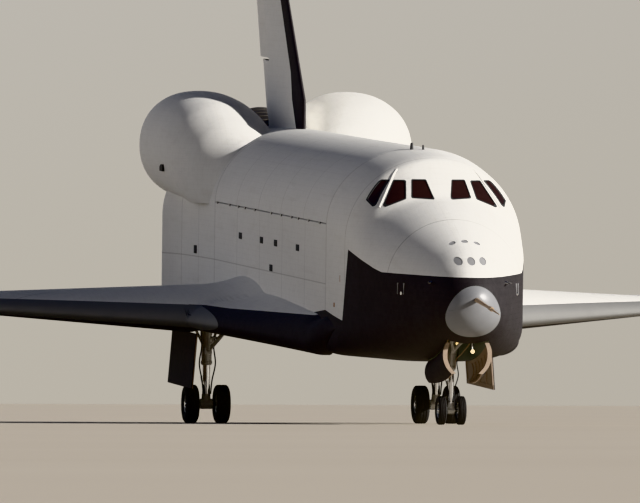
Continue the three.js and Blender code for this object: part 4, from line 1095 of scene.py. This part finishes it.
def from_hinge(out, aft, along):
    """A point by its distances from the foot of the rudder's hinge."""
    return foot_of_hinge + ALONG * along + AFT * aft + np.array([out, 0, 0])


low, high = RUDDER[0] - 75, RUDDER[1] + 150
window = prism("x", [(fin_at(low)[2] - 250, low), (fin_at(high)[2] - 150, high), (40000, high), (40000, low)],
               -1500, 1500)
cove = rod(foot_of_hinge - ALONG * 300, head_of_hinge + ALONG * 200, cove_radius(RUDDER[0]) + 20,
           cove_radius(RUDDER[1]) + 8, 48)
carve(cove, block((-2000, 2000), (0, 60000), (low, high)), keep=True)
# Room round the upper engine's bell, out of the fin and the pods
axis = unit(np.array([0, 1, sin(radians(ENGINES[0][3]))]))
bell = np.array([0, ENGINE["y"], ENGINES[0][2]])
clearance = rod(bell + axis * 1000, bell + axis * 5000, 1240, 1400, 48)
carve(clearance, block((-5000, 5000), (BASE, 40000), (-5000, 9000)), keep=True)
pod_clearance = duplicate(clearance, "pod_clearance")
carve(fin, clearance)
carve(fin, window, cove)


def fin_mask(n, xyz):
    """The dark band along the fin's leading edge, wider at its foot."""
    slope = (FIN_TIP[1] - FIN_ROOT[1]) / (FIN_TIP[0] - FIN_ROOT[0])
    edge = n.math("MULTIPLY_ADD", xyz[2], slope, (FIN_ROOT[1] - slope * FIN_ROOT[0]) / 1000)
    behind = n.math("SUBTRACT", xyz[1], edge)
    return n.below(behind, n.points(xyz[2], [(2.3, 1.5), (4.2, 0.75), (10.7, 0.38)]))


FIN_COAT = coat("fin_coat", fin_mask)
stand(dress(fin, fin_skin, FIN_COAT, SEAL), "vertical_fin")


def radius_along(along):
    t = along / HINGE_SPAN
    return cove_radius(RUDDER[0]) * (1 - t) + cove_radius(RUDDER[1]) * t


rings = []
for along in np.linspace(60, HINGE_SPAN - 60, 16):
    r = radius_along(along) - 6
    q = np.radians(np.linspace(146, 214, 15))
    rings.append([from_hinge(0, -12, along)] + [from_hinge(r * sin(v), r * cos(v), along) for v in q])
stand(loft("rudder_spine_skin", rings, (WHITE_COAT,), sharp=35), "rudder_spine", "rudder")
TE_RISE = (FIN_TIP[2] - FIN_ROOT[2]) / (FIN_TIP[0] - FIN_ROOT[0])
for side, s in SIDES.items():
    rings = []
    for along in np.linspace(-400, HINGE_SPAN + 1700, 50):
        z = RUDDER[0] + (RUDDER[1] - RUDDER[0]) * along / HINGE_SPAN
        deep = (fin_at(z)[1] - fin_at(z)[2]) / (ALONG[2] + TE_RISE * ALONG[1])
        r, lift = radius_along(along) - 6, radians(BRAKE_REST)
        flat = [(5, 10), (r, 10)]
        flat += [(v[1], v[0]) for v in smooth(np.array([10.0, deep * 0.5, deep]),
                                              np.array([[10, r], [deep * 0.5, 0.5 * r + 14], [deep, 22]]),
                                              np.linspace(10, deep, 14)[1:])]
        flat.append((4, deep))
        rings.append([from_hinge(s * (o * cos(lift) + f * sin(lift)),
                                 f * cos(lift) - o * sin(lift), along) for o, f in flat])
    panel = loft(f"speed_brake_{side}_skin", rings, sharp=None)
    carve(panel, block((-3000, 3000), (20000, 50000), RUDDER), keep=True)
    stand(paint(panel, WHITE_COAT), f"speed_brake_panel_{side}", f"speed_brake_panel_{side}")


def plate(side, y, z, length, height, material, proud=8, x=HALF, name="plate"):
    """A plate on the fuselage's upright side, with bevelled edges."""
    ring = []
    for inset, out in ((0, -30), (0, proud * 0.6), (6, proud)):
        dy, dz = length / 2 - inset, height / 2 - inset
        corners = ((-1, -1), (1, -1), (1, 1), (-1, 1))
        ring.append([(side * (x + out), y + a * dy, z + b * dz) for a, b in corners])
    return loft(name, ring, (material,), sharp=20)


# Pods, their nozzles, and a dark mark on each pod's outer side
POD_BELL = [(150, 0), (240, 120), (320, 270), (380, 420), (425, 600), (460, 800),
            (435, 800), (400, 600), (350, 440), (290, 290), (200, 160), (0, 100)]
MARK_Y, MARK_ANGLE = 30200, radians(16)
POD_FRONT, POD_ROUND = POD[0, 0], 1500  # the rounded front has its stations closer together
rows = smooth(POD[:, 0], POD, np.concatenate([POD_FRONT + np.linspace(0, 1, 40) ** 1.6 * POD_ROUND,
                                              np.linspace(POD_FRONT + POD_ROUND, POD[-1, 0], 60)[1:]]))
for side, s in SIDES.items():
    rings = []
    for y, cx, cz, hw, hh in rows:
        a = np.linspace(0, 2 * pi, 96, endpoint=False)
        c, d = np.cos(a), np.sin(a)
        rings.append(np.stack([s * (cx + hw * np.sign(c) * np.abs(c) ** POD_POWER), np.full_like(a, y),
                               cz + hh * np.sign(d) * np.abs(d) ** POD_POWER], -1))
    pod = loft(f"pod_{side}_skin", rings, sharp=None)
    carve(pod, block((s * POD_KEPT["x"], s * 9000), (POD_KEPT["y"], 40000), (POD_KEPT["z"], 5000)), keep=True)
    carve(pod, duplicate(pod_clearance, "clear"))
    stand(dress(pod, Skin(np.array(rings)), POD_COAT, BLACK_COAT), f"oms_pod_{side}")
    nozzle = turned(POD_BELL, (s * 2350, 33901, 1750), (s * 0.1, 1, 0.28), 64, BELL, closed=False,
                    name=f"pod_nozzle_{side}_skin")
    stand(nozzle, f"oms_nozzle_{side}")
    _, cx, cz, hw, hh = smooth(POD[:, 0], POD, np.array([float(MARK_Y)]))[0]
    x, z = cx + hw * cos(MARK_ANGLE) ** POD_POWER, cz - hh * sin(MARK_ANGLE) ** POD_POWER
    stand(plate(s, MARK_Y, z, 520, 210, SEAL, 30, x, f"pod_port_{side}"))
remove(pod_clearance)

# Engine bells
BANDED = (10, 14, 18, 22, 26, 30, 34, 37)  # steps of the bell's curve that carry a band
DOME_PROFILE = [(940, -60), (940, 30), (860, 120), (700, 210), (560, 250), (520, 240), (520, -60)]
BELL_WALL = 45
for name, x, z, pitch, yaw in ENGINES:
    pose = (x, ENGINE["y"], z), (sin(radians(yaw)), 1, sin(radians(pitch)))
    t = np.linspace(0, 1, 40)
    radius = ENGINE["throat"] + (ENGINE["exit"] - ENGINE["throat"]) * np.sin(t * pi / 2) ** 0.85
    along = ENGINE["start"] + (ENGINE["length"] - ENGINE["start"]) * t
    profile = list(zip(radius, along)) + [(ENGINE["exit"] - BELL_WALL, ENGINE["length"])]
    profile += list(zip(radius[::-1] - BELL_WALL, along[::-1] + 60 * (1 - t[::-1])))[1:]
    parts = [turned(profile + [(0, ENGINE["start"] + 60)], *pose, 96, BELL, closed=False)]
    for r, h in ((radius[k], along[k]) for k in BANDED):
        band = [(r - 8, h - 26), (r + 10, h - 20), (r + 16, h), (r + 10, h + 20), (r - 8, h + 26)]
        parts.append(turned(band, *pose, 96, BELL, sharp=50))
    parts.append(turned([(r, BASE - ENGINE["y"] + h) for r, h in DOME_PROFILE], *pose, 64, DOME))
    stand(join(f"engine_bell_{name}", parts), f"engine_nozzle_{name}")

# Hinges, vents and small marks on the fuselage
HINGES_Y = (26800, 24720, 23210, 22110, 20460, 17710, 16090, 14400, 13320, 11650, 9870)
VENTS = [(22819, -490), (19283, -490), (16946, -490), (13374, -490), (17661, -1238)]
for side, s in SIDES.items():
    parts = [plate(s, y, 352, 230, 62, SEAL, 16) for y in HINGES_Y]
    parts += [plate(s, y, 352, 120, 84, STRUT, 22) for y in HINGES_Y]
    parts.append(block((s * 2600, s * 2660), (FORWARD_END + 20, AFT_START - 20), (330, 364), PORT))
    stand(join(f"bay_door_hinges_{side}", parts))
    parts = []
    # Each vent is a dark seal-grey plate with near-black slats: painted shade that makes the raised plate
    # look like a recessed opening
    for y, z in VENTS:
        parts.append(plate(s, y, z, 520, 190, SEAL, 6))
        parts += [plate(s, y, z + dz, 470, 24, VENT_SHADE, 14) for dz in (-55, 0, 55)]
    stand(join(f"vents_{side}", parts))
    # The aft vents are plain dark seal-grey plates: painted shade for recessed openings
    parts = [plate(s, 29779, -1145, 520, 240, SEAL, 6, 2828), plate(s, 32200, -1180, 90, 90, SEAL, 6, 3215)]
    stand(join(f"aft_vents_{side}", parts))
    parts = [plate(s, 7139, -1131, 150, 190, ORANGE, 5, 2575),
             plate(s, 7700, -1900, 190, 120, ORANGE, 5, 2624)]
    stand(join(f"ground_marks_{side}", parts))

# Two aerials on the roof, air data probes and light strips on the nose
roof = [rod((x, y, 2440), (x, y + 30, 2440 + h), r, r * 0.7, 20, SEAL)
        for x, y, h, r in ((-276, 8528, 250, 55), (30, 8392, 190, 35))]
stand(join("roof_aerials", roof))
PROBE, SENSOR, STRIPS = (1240, -1000), (2565, -1359), ((2790, -1231), (2473, -1227))  # y and z
for side, s in SIDES.items():
    base = np.array([s * surface_x(*PROBE), *PROBE])
    probe = [rod(base, base + (s * 90, -40, -10), 42, 30, 20, CHROME),
             rod(base + (s * 85, -30, -10), base + (s * 105, -330, 0), 26, 8, 16, CHROME)]
    x, (y, z) = surface_x(*SENSOR), SENSOR
    probe.append(rod((s * (x - 20), y, z), (s * (x + 18), y - 10, z), 55, 48, 24, CHROME))
    stand(join(f"air_data_probes_{side}", probe))
    strips = []
    for y, z in STRIPS:
        x = surface_x(y, z)
        strips.append(block((s * (x - 60), s * (x + 3)), (y - 38, y + 38), (z - 160, z + 160), PORT))
    stand(join(f"light_strips_{side}", strips))


# Landing gear

def tyre(name, centre, gear, body, node):
    """A tyre with rounded shoulders and straight grooves."""
    radius, half, bead = gear["radius"], gear["width"] / 2, gear["bead"]
    # share of the wall's height, share of the half width
    wall = [(0, 0.66), (0.30, 0.95), (0.52, 1.0), (0.74, 0.955), (0.89, 0.84)]
    wall = [(bead + (radius - bead) * t, w) for t, w in wall] + [(radius - 7, 0.68)]
    wall.insert(1, (bead + 12, 0.78))
    profile = [(r, -half * w) for r, w in wall]
    for g in (-0.42, 0.0, 0.42):
        profile += [(radius - deep, half * g + dx) for deep, dx in ((1, -16), (13, -9), (13, 9), (1, 16))]
    profile += [(r, half * w) for r, w in wall[::-1]] + [(bead - 0.2, 0)]
    stand(turned(profile, centre, ACROSS, 96, RUBBER, sharp=42, name=name), node, body)


def wheels(name, centre, gear, body, node):
    """Twin wheels on their axle, with dished faces, bolts and hub caps."""
    bead, tube, h = gear["bead"], gear["tube"], gear["width"] * 0.36
    dish = [(tube, 0), (bead * 0.42, 6), (bead * 0.47, -34), (bead * 0.62, -52), (bead * 0.80, -46),
            (bead * 0.88, -12), (bead - 3, 0)]
    profile = [(r, -h - out) for r, out in dish] + [(r, h + out) for r, out in dish[::-1]]
    parts = []
    for e in (-1, 1):
        c = centre + (e * gear["spacing"] / 2, 0, 0)
        parts.append(turned(profile, c, ACROSS, 72, HUB, sharp=30))
        for a in (2 * pi * k / gear["bolts"] for k in range(gear["bolts"])):
            q = c + np.array([0, cos(a), sin(a)]) * bead * 0.69
            for f in (-1, 1):
                foot, head = q + (f * (h - 52), 0, 0), q + (f * (h - 30), 0, 0)
                parts.append(rod(foot, head, bead * 0.055, bead * 0.05, 6, CHROME))
        foot, head = c + (e * (h - 6), 0, 0), c + (e * (h + 24), 0, 0)
        parts.append(rod(foot, head, tube * 1.1, tube * 0.8, 24, CHROME))
    reach = np.array([gear["spacing"] / 2, 0, 0])
    parts.append(rod(centre - reach, centre + reach, tube * 0.93, finish=CHROME))
    stand(join(name, parts), node, body)


ACROSS = (1, 0, 0)
NOSE_CENTRE = np.array([0, NOSE["y"], NOSE["z"]], float)
MAIN_CENTRE = {side: np.array([s * MAIN["x"], MAIN["y"], MAIN["z"]], float) for side, s in SIDES.items()}
for side, s in SIDES.items():
    tyre(f"nose_tyre_{side}_tread", NOSE_CENTRE + (s * NOSE["spacing"] / 2, 0, 0), NOSE, "nose_wheels",
         f"nose_tyre_{side}")
wheels("nose_wheels_detail", NOSE_CENTRE, NOSE, "nose_wheels", "nose_wheel_hubs")
for side, s in SIDES.items():
    for where, o in (("outer", s), ("inner", -s)):
        tyre(f"main_tyre_{side}_{where}_tread", MAIN_CENTRE[side] + (o * MAIN["spacing"] / 2, 0, 0), MAIN,
             f"main_wheels_{side}", f"main_tyre_{side}_{where}")
    wheels(f"main_wheels_{side}_detail", MAIN_CENTRE[side], MAIN, f"main_wheels_{side}",
           f"main_wheel_hubs_{side}")


def level(x, y, z, reach, radius, count, finish):
    """A round bar across the craft, as far to each side of x."""
    return rod((x - reach, y, z), (x + reach, y, z), radius, count=count, finish=finish)


def leg(x, y, top, knee, radii, cross):
    """The fixed half of a landing gear leg: tapered tube, collars, cross tube and stays."""
    r0, r1 = radii
    parts = [rod((x, y, top), (x, y, knee), r0, r1, 40, STRUT)]
    for t, grow, h in ((0.12, 22, 70), (0.45, 14, 40), (0.72, 14, 40), (0.955, 20, 90)):
        r, h = r0 + (r1 - r0) * t + grow, h / 2
        collar = [(r - grow - 4, -h), (r - 5, -h), (r, -h + 6), (r, h - 6), (r - 5, h), (r - grow - 4, h)]
        parts.append(turned(collar, (x, y, top + (knee - top) * t), (0, 0, 1), 40, STRUT, sharp=30))
    cz, cx, cr = cross
    parts.append(level(x, y, cz, cx, cr, 28, STRUT))
    for e in (-1, 1):
        parts.append(rod((x + e * (cx - 20), y, cz), (x + e * cx, y, cz), cr + 24, count=28, finish=CHROME))
        parts.append(rod((x + e * cx * 0.86, y, cz - 20), (x + e * r0 * 0.5, y, cz + (knee - cz) * 0.62),
                         cr * 0.42, count=20, finish=STRUT))
    return parts


def links(x, y, heights, reach, width):
    """Torque links behind a leg: two arms that meet at a pin."""
    upper, middle, lower = heights
    parts = []
    for a, b in (((y + 60, upper), (y + reach, middle)), ((y + reach, middle), (y + 60, lower))):
        parts += [rod((x + e * width, *a), (x + e * width * 0.35, *b), 26, 20, 14, STRUT) for e in (-1, 1)]
        parts.append(level(x, *a, width, 30, 16, CHROME))
    return parts + [level(x, y + reach, middle, width * 0.8, 30, 16, CHROME)]


def brace(foot, head, half, radius, cross_radius):
    """A forked drag brace with rungs between its arms."""
    foot, head = np.array(foot, float), np.array(head, float)
    parts = [level(*head, half * 1.28, cross_radius, 24, STRUT)]
    ends = [head + (e * half, 0, 0) for e in (-1, 1)]
    for end in ends:
        parts.append(rod(foot, end, radius, count=24, finish=STRUT))
        parts.append(level(*end, 60, cross_radius + 22, 24, STRUT))
    for t in (0.35, 0.62):
        a, b = (foot + (end - foot) * t for end in ends)
        parts.append(rod(a, b, radius * 0.55, count=16, finish=CHROME))
    return parts


def lug(x, half, y, z):
    return block((x - half, x + half), y, z, STRUT)


# Legs: heights of the top and the knee, radii there, and the cross tube's height, reach and radius
NOSE_LEG = {"top": NOSE_WELL["roof"] - 1, "knee": -3560, "radii": (120, 105), "cross": (-2330, 560, 70)}
MAIN_LEG = {"top": MAIN_WELL["roof"] - 1, "knee": -4350, "radii": (175, 150), "cross": (-2880, 620, 95)}

# Nose leg, piston, brace, pipes and lamps
x, y, z = NOSE_CENTRE
parts = leg(0, y, **NOSE_LEG)
parts.append(lug(0, 70, (y - 175, y - 60), (-3080, -2940)))
stand(join("nose_leg_detail", parts), "nose_gear_leg")
parts = [rod((0, y, NOSE_LEG["knee"] - 1), (0, y, z + 90), 78, count=40, finish=CHROME),
         level(0, y, z, 95, 105, 40, STRUT), rod((0, y, z + 60), (0, y, z + 230), 98, 84, 40, STRUT)]
parts += links(0, y, (-3660, -3880, -4330), 250, 60)
stand(join("nose_piston_detail", parts), "nose_gear_piston", "nose_steering")
parts = brace((0, y - 230, -3010), (0, 1750, -2160), 430, 48, 52)
parts.append(lug(0, 70, (y - 290, y - 178), (-3080, -2940)))
stand(join("nose_brace_detail", parts), "nose_gear_drag_brace")
NOSE_PIPES = {  # radius and material: x to each side, y and z
    (15, SEAL): [(60, y - 90, -2500), (150, y - 170, -2950), (132, y - 120, -3350), (190, y - 60, -3700),
                 (96, y - 40, -4080), (60, y - 70, -4420)],
    (13, BOOM): [(250, 1900, -2300), (330, 2500, -2700), (210, 3100, -3050), (120, y - 100, -3250),
                 (105, y - 60, -3500)]}
pipes = [sweep("pipe", [(e * px, py, pz) for px, py, pz in points], radius, finish)
         for (radius, finish), points in NOSE_PIPES.items() for e in (-1, 1)]
stand(join("nose_gear_pipes", pipes))
LAMP_BOWL = [(20, 70), (50, 40), (58, 0), (58, -10), (52, -10), (46, 30), (0, 55)]
LAMP_LENS = [(0, -16), (34, -13), (52, -5), (52, 5), (0, 5)]
lamps = []
for c, foot in (((160, 1330, -2930), (160, 1420, -2680)), ((120, y - 260, -2800), (0, y - 60, -2800))):
    lamps += [turned(LAMP_BOWL, c, (0, 1, 0), 36, STRUT, closed=False),
              turned(LAMP_LENS, c, (0, 1, 0), 36, LAMP, closed=False),
              rod(np.array(c, float) + (0, 50, 0), foot, 20, count=14, finish=STRUT)]
stand(join("nose_gear_lamps", lamps))

# Main legs, pistons, braces and pipes
MAIN_PIPE = [(80, -150, -2750), (210, -230, -3300), (180, -190, -3800), (240, -160, -4300),
             (150, -130, -4800), (110, -150, -5200)]  # from the leg's middle to each side, y, height
for side in SIDES:
    x, y, z = MAIN_CENTRE[side]
    parts = leg(x, y, **MAIN_LEG)
    parts.append(lug(x, 90, (y - 260, y - 80), (-4000, -3820)))
    stand(join(f"main_leg_detail_{side}", parts), f"main_gear_leg_{side}")
    parts = [rod((x, y, MAIN_LEG["knee"] - 1), (x, y, z + 120), 118, count=40, finish=CHROME),
             level(x, y, z, 175, 150, 40, STRUT), rod((x, y, z + 90), (x, y, z + 300), 142, 124, 40, STRUT)]
    parts += links(x, y, (-4440, -4720, -5210), 380, 90)
    stand(join(f"main_piston_detail_{side}", parts), f"main_gear_piston_{side}")
    parts = brace((x, y - 340, -3910), (x, 21000, -2720), 480, 62, 66)
    parts.append(lug(x, 90, (y - 430, y - 263), (-4000, -3820)))
    stand(join(f"main_brace_detail_{side}", parts), f"main_gear_drag_brace_{side}")
    pipes = [sweep("pipe", [(x + e * px, y + py, pz) for px, py, pz in MAIN_PIPE], 20, SEAL) for e in (-1, 1)]
    stand(join(f"main_gear_pipes_{side}", pipes))


# Gear doors

def belly_at(y, x):
    """Height of the nose's underside."""
    _, half, _, _, low, bottom, _, down = sections(FORWARD, [y])[0]
    return low - (low - bottom) * max(0.0, 1 - min(1.0, abs(x) / half) ** down) ** (1 / down)


# x, depth below the fuselage, share of the bend towards the middle at the front
DOOR_FACE = [(612, 0, 0), (660, -110, 0), (690, -210, 0), (708, -330, 0.06), (715, -450, 0.15),
             (703, -570, 0.3), (680, -690, 0.5), (640, -790, 0.75), (590, -880, 1)]
DOOR_BACK = [(548, -862, 1), (594, -775, 0.75), (632, -680, 0.5), (653, -565, 0.3), (664, -450, 0.15),
             (658, -330, 0.06), (640, -222, 0), (610, -112, 0), (566, 0, 0)]
DOOR_Y0, DOOR_LENGTH, DOOR_BEND, DOOR_TAPER = 1260, 2600, 150, 0.30


def door_ring(s, points, y, along=None, shift=0):
    """Points of a nose gear door's section, bent and scaled as at a place along it, and put at y."""
    along = y if along is None else along
    t = (along - DOOR_Y0) / DOOR_LENGTH
    top = belly_at(along, 612) - 40
    return [(s * (x - DOOR_BEND * (1 - t) * bend + shift), y, top + z * (1 - DOOR_TAPER * t))
            for x, z, bend in points]


def slab(s, x, y, depth, finish, steps=2):
    """Part of a main gear door between two values of x, of y and of depth, tilted as the door hangs."""
    top, lean = lower_at(4400) + 30, tan(radians(4.5))
    corners = [(x[0], depth[0]), (x[1], depth[0]), (x[1], depth[1]), (x[0], depth[1])]
    rings = [[(s * (a + d * lean), yy, top - d) for a, d in corners] for yy in np.linspace(*y, steps)]
    return loft("slab", rings, (finish,), sharp=30)


# The main gear door's ends and depth, and its inner frame as y from and to, depth from and to
Y0, Y1, DEEP, FRAME = MAIN_WELL["y0"] + 10, MAIN_WELL["y1"] - 10, 1600, 130
BARS = [(Y0, Y0 + FRAME, 0, DEEP), (Y1 - FRAME, Y1, 0, DEEP), (Y0, Y1, 0, 90), (Y0, Y1, DEEP - FRAME, DEEP)]
BARS += [(Y0 + (Y1 - Y0) * t - 35, Y0 + (Y1 - Y0) * t + 35, 60, DEEP - 40) for t in (0.25, 0.5, 0.75)]
BARS.append((Y0 + 60, Y1 - 60, 760, 830))
DOOR_SKIN, DOOR_LINING, DOOR_BARS = (4380, 4405), (4366, 4379.7), (4346, 4379.5)  # between these values of x
for side, s in SIDES.items():
    rings = [door_ring(s, DOOR_FACE + DOOR_BACK, y) for y in np.linspace(DOOR_Y0, DOOR_Y0 + DOOR_LENGTH, 40)]
    door = loft(f"nose_door_{side}_skin", rings, (DOOR_OUT, DOOR_IN), sharp=35)
    around = len(rings[0])
    for i, p in enumerate(door.data.polygons[:(len(rings) - 1) * around]):
        p.material_index = int(i % around >= len(DOOR_FACE) - 1)
    ribs = []
    for y in np.linspace(1500, 3650, 6):
        rings = [door_ring(s, DOOR_BACK[:-1], end, y, -26) + door_ring(s, DOOR_BACK[-2::-1], end, y, 8)
                 for end in (y - 18, y + 18)]
        ribs.append(loft("rib", rings, (DOOR_IN,), sharp=30))
    lip = DOOR_FACE + [(x - 75, z, bend) for x, z, bend in DOOR_BACK]
    lip = [door_ring(s, lip, yy, DOOR_Y0) for yy in (1246, 1262)]
    parts = [door, *ribs, loft("lip", lip, (DOOR_IN,), sharp=30)]
    stand(join(f"nose_door_{side}_detail", parts), f"nose_gear_door_{side}")

    parts = [slab(s, DOOR_SKIN, (Y0, Y1), (0, DEEP), DOOR_OUT, 8)]
    parts += [slab(s, DOOR_BARS, (a, b), (d0, d1), DOOR_IN) for a, b, d0, d1 in BARS]
    parts.append(slab(s, DOOR_LINING, (Y0 + 20, Y1 - 20), (40, DEEP - 30), DOOR_IN))
    stand(join(f"main_door_{side}_detail", parts), f"main_gear_door_{side}")

# Carried-over CAD nodes
CARRIED = {"flight_deck_floor": INSIDE, "instrument_panel": INSIDE, "air_data_boom": BOOM,
           "seat_port": SEAT, "seat_starboard": SEAT}
for node, finish in CARRIED.items():
    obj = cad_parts[node]
    obj.data.materials.clear()
    obj.data.materials.append(finish)


# Floor, light and camera

def floor_material():
    n = Nodes("floor", roughness=0.85)
    at = n.add("TexCoord").outputs["Object"]
    soft = n.noise(at, 0.03, 3.0, 0.5)
    n.colour(n.mix(soft, (0.57, 0.51, 0.42), (0.63, 0.57, 0.48)))
    return n.material


FLOOR = 4000  # metres from the middle to each edge
floor = make("floor", [(-FLOOR, -FLOOR, 0), (FLOOR, -FLOOR, 0), (FLOOR, FLOOR, 0), (-FLOOR, FLOOR, 0)],
             [(0, 1, 2, 3)], (floor_material(),), None)

# Sky: pale at the horizon and dark overhead; its elevation as a share goes with its colour
SKY = [(0.0, (0.51, 0.475, 0.415)), (0.2, (0.60, 0.61, 0.64)), (0.42, (0.11, 0.125, 0.18)),
       (1.0, (0.012, 0.017, 0.035))]
BRIGHT_SIDE, DIMMEST, BRIGHTEST = (-0.86, 0.51, 0.0), 0.093, 1.46
world = bpy.data.worlds.new("sky")
bpy.context.scene.world = world
world.use_nodes = True
tree = world.node_tree
coord = tree.nodes.new("ShaderNodeTexCoord")
split = tree.nodes.new("ShaderNodeSeparateXYZ")
ramp = tree.nodes.new("ShaderNodeValToRGB")
tree.links.new(coord.outputs["Generated"], split.inputs[0])
tree.links.new(split.outputs[2], ramp.inputs[0])
tree.links.new(ramp.outputs[0], tree.nodes["Background"].inputs[0])
for at, _ in SKY[1:-1]:
    ramp.color_ramp.elements.new(at)
for element, (at, colour) in zip(ramp.color_ramp.elements, SKY):
    element.position, element.color = at, (*colour, 1)
# brighter behind and to starboard, where the photograph has sunlit dust, and darker ahead
across = tree.nodes.new("ShaderNodeVectorMath")
across.operation = "DOT_PRODUCT"
tree.links.new(coord.outputs["Generated"], across.inputs[0])
across.inputs[1].default_value = BRIGHT_SIDE
strength = tree.nodes.new("ShaderNodeMapRange")
tree.links.new(across.outputs["Value"], strength.inputs["Value"])
for socket, value in (("From Min", -1.0), ("From Max", 1.0), ("To Min", DIMMEST), ("To Max", BRIGHTEST)):
    strength.inputs[socket].default_value = value
tree.links.new(strength.outputs[0], tree.nodes["Background"].inputs[1])

sun = bpy.data.lights.new("sun", "SUN")
sun.energy = 6.2
sun.angle = radians(1.2)
sun.color = (1.0, 0.965, 0.91)
lamp = bpy.data.objects.new("sun", sun)
bpy.context.scene.collection.objects.link(lamp)
SUN_AZIMUTH, SUN_HEIGHT = radians(54), radians(21.5)
toward = Vector((sin(SUN_AZIMUTH) * cos(SUN_HEIGHT), -cos(SUN_AZIMUTH) * cos(SUN_HEIGHT), sin(SUN_HEIGHT)))
lamp.rotation_mode = "QUATERNION"
lamp.rotation_quaternion = toward.to_track_quat("Z", "Y")
bpy.context.scene.view_settings.view_transform = "Khronos PBR Neutral"

# The photograph's view: a long lens close to the ground, off the starboard bow
VIEW = {"azimuth": -10.56, "height": 0.6, "roll": 0.2, "distance": 400.0,
        "scale": 34.44, "x": 367.6, "y": 403.2}  # pixels for a metre, and the pixel of the row's origin
PHOTO = (640, 503)
focal = VIEW["scale"] * VIEW["distance"]
az, roll = radians(VIEW["azimuth"]), radians(VIEW["roll"])
back = np.array([sin(az), -cos(az), 0.0])
right = np.array([cos(az), sin(az), 0.0])
up = np.array([0.0, 0.0, 1.0])
right, up = cos(roll) * right + sin(roll) * up, cos(roll) * up - sin(roll) * right
aim = -back + right * (PHOTO[0] / 2 - VIEW["x"]) / focal + up * (VIEW["y"] - PHOTO[1] / 2) / focal
z_axis = -unit(aim)
x_axis = unit(right - z_axis * (right @ z_axis))
y_axis = np.cross(z_axis, x_axis)
lens = bpy.data.cameras.new("camera")
lens.sensor_width = 36
lens.lens = 36 * focal / PHOTO[0]
lens.clip_start, lens.clip_end = 10, 8000
camera = bpy.data.objects.new("camera", lens)
bpy.context.scene.collection.objects.link(camera)
place = np.array([back[0] * VIEW["distance"], back[1] * VIEW["distance"], VIEW["height"]])
camera.matrix_world = Matrix([(*np.array([x_axis[i], y_axis[i], z_axis[i]]), place[i]) for i in range(3)]
                             + [(0, 0, 0, 1)])
bpy.context.scene.camera = camera

bpy.context.view_layer.update()
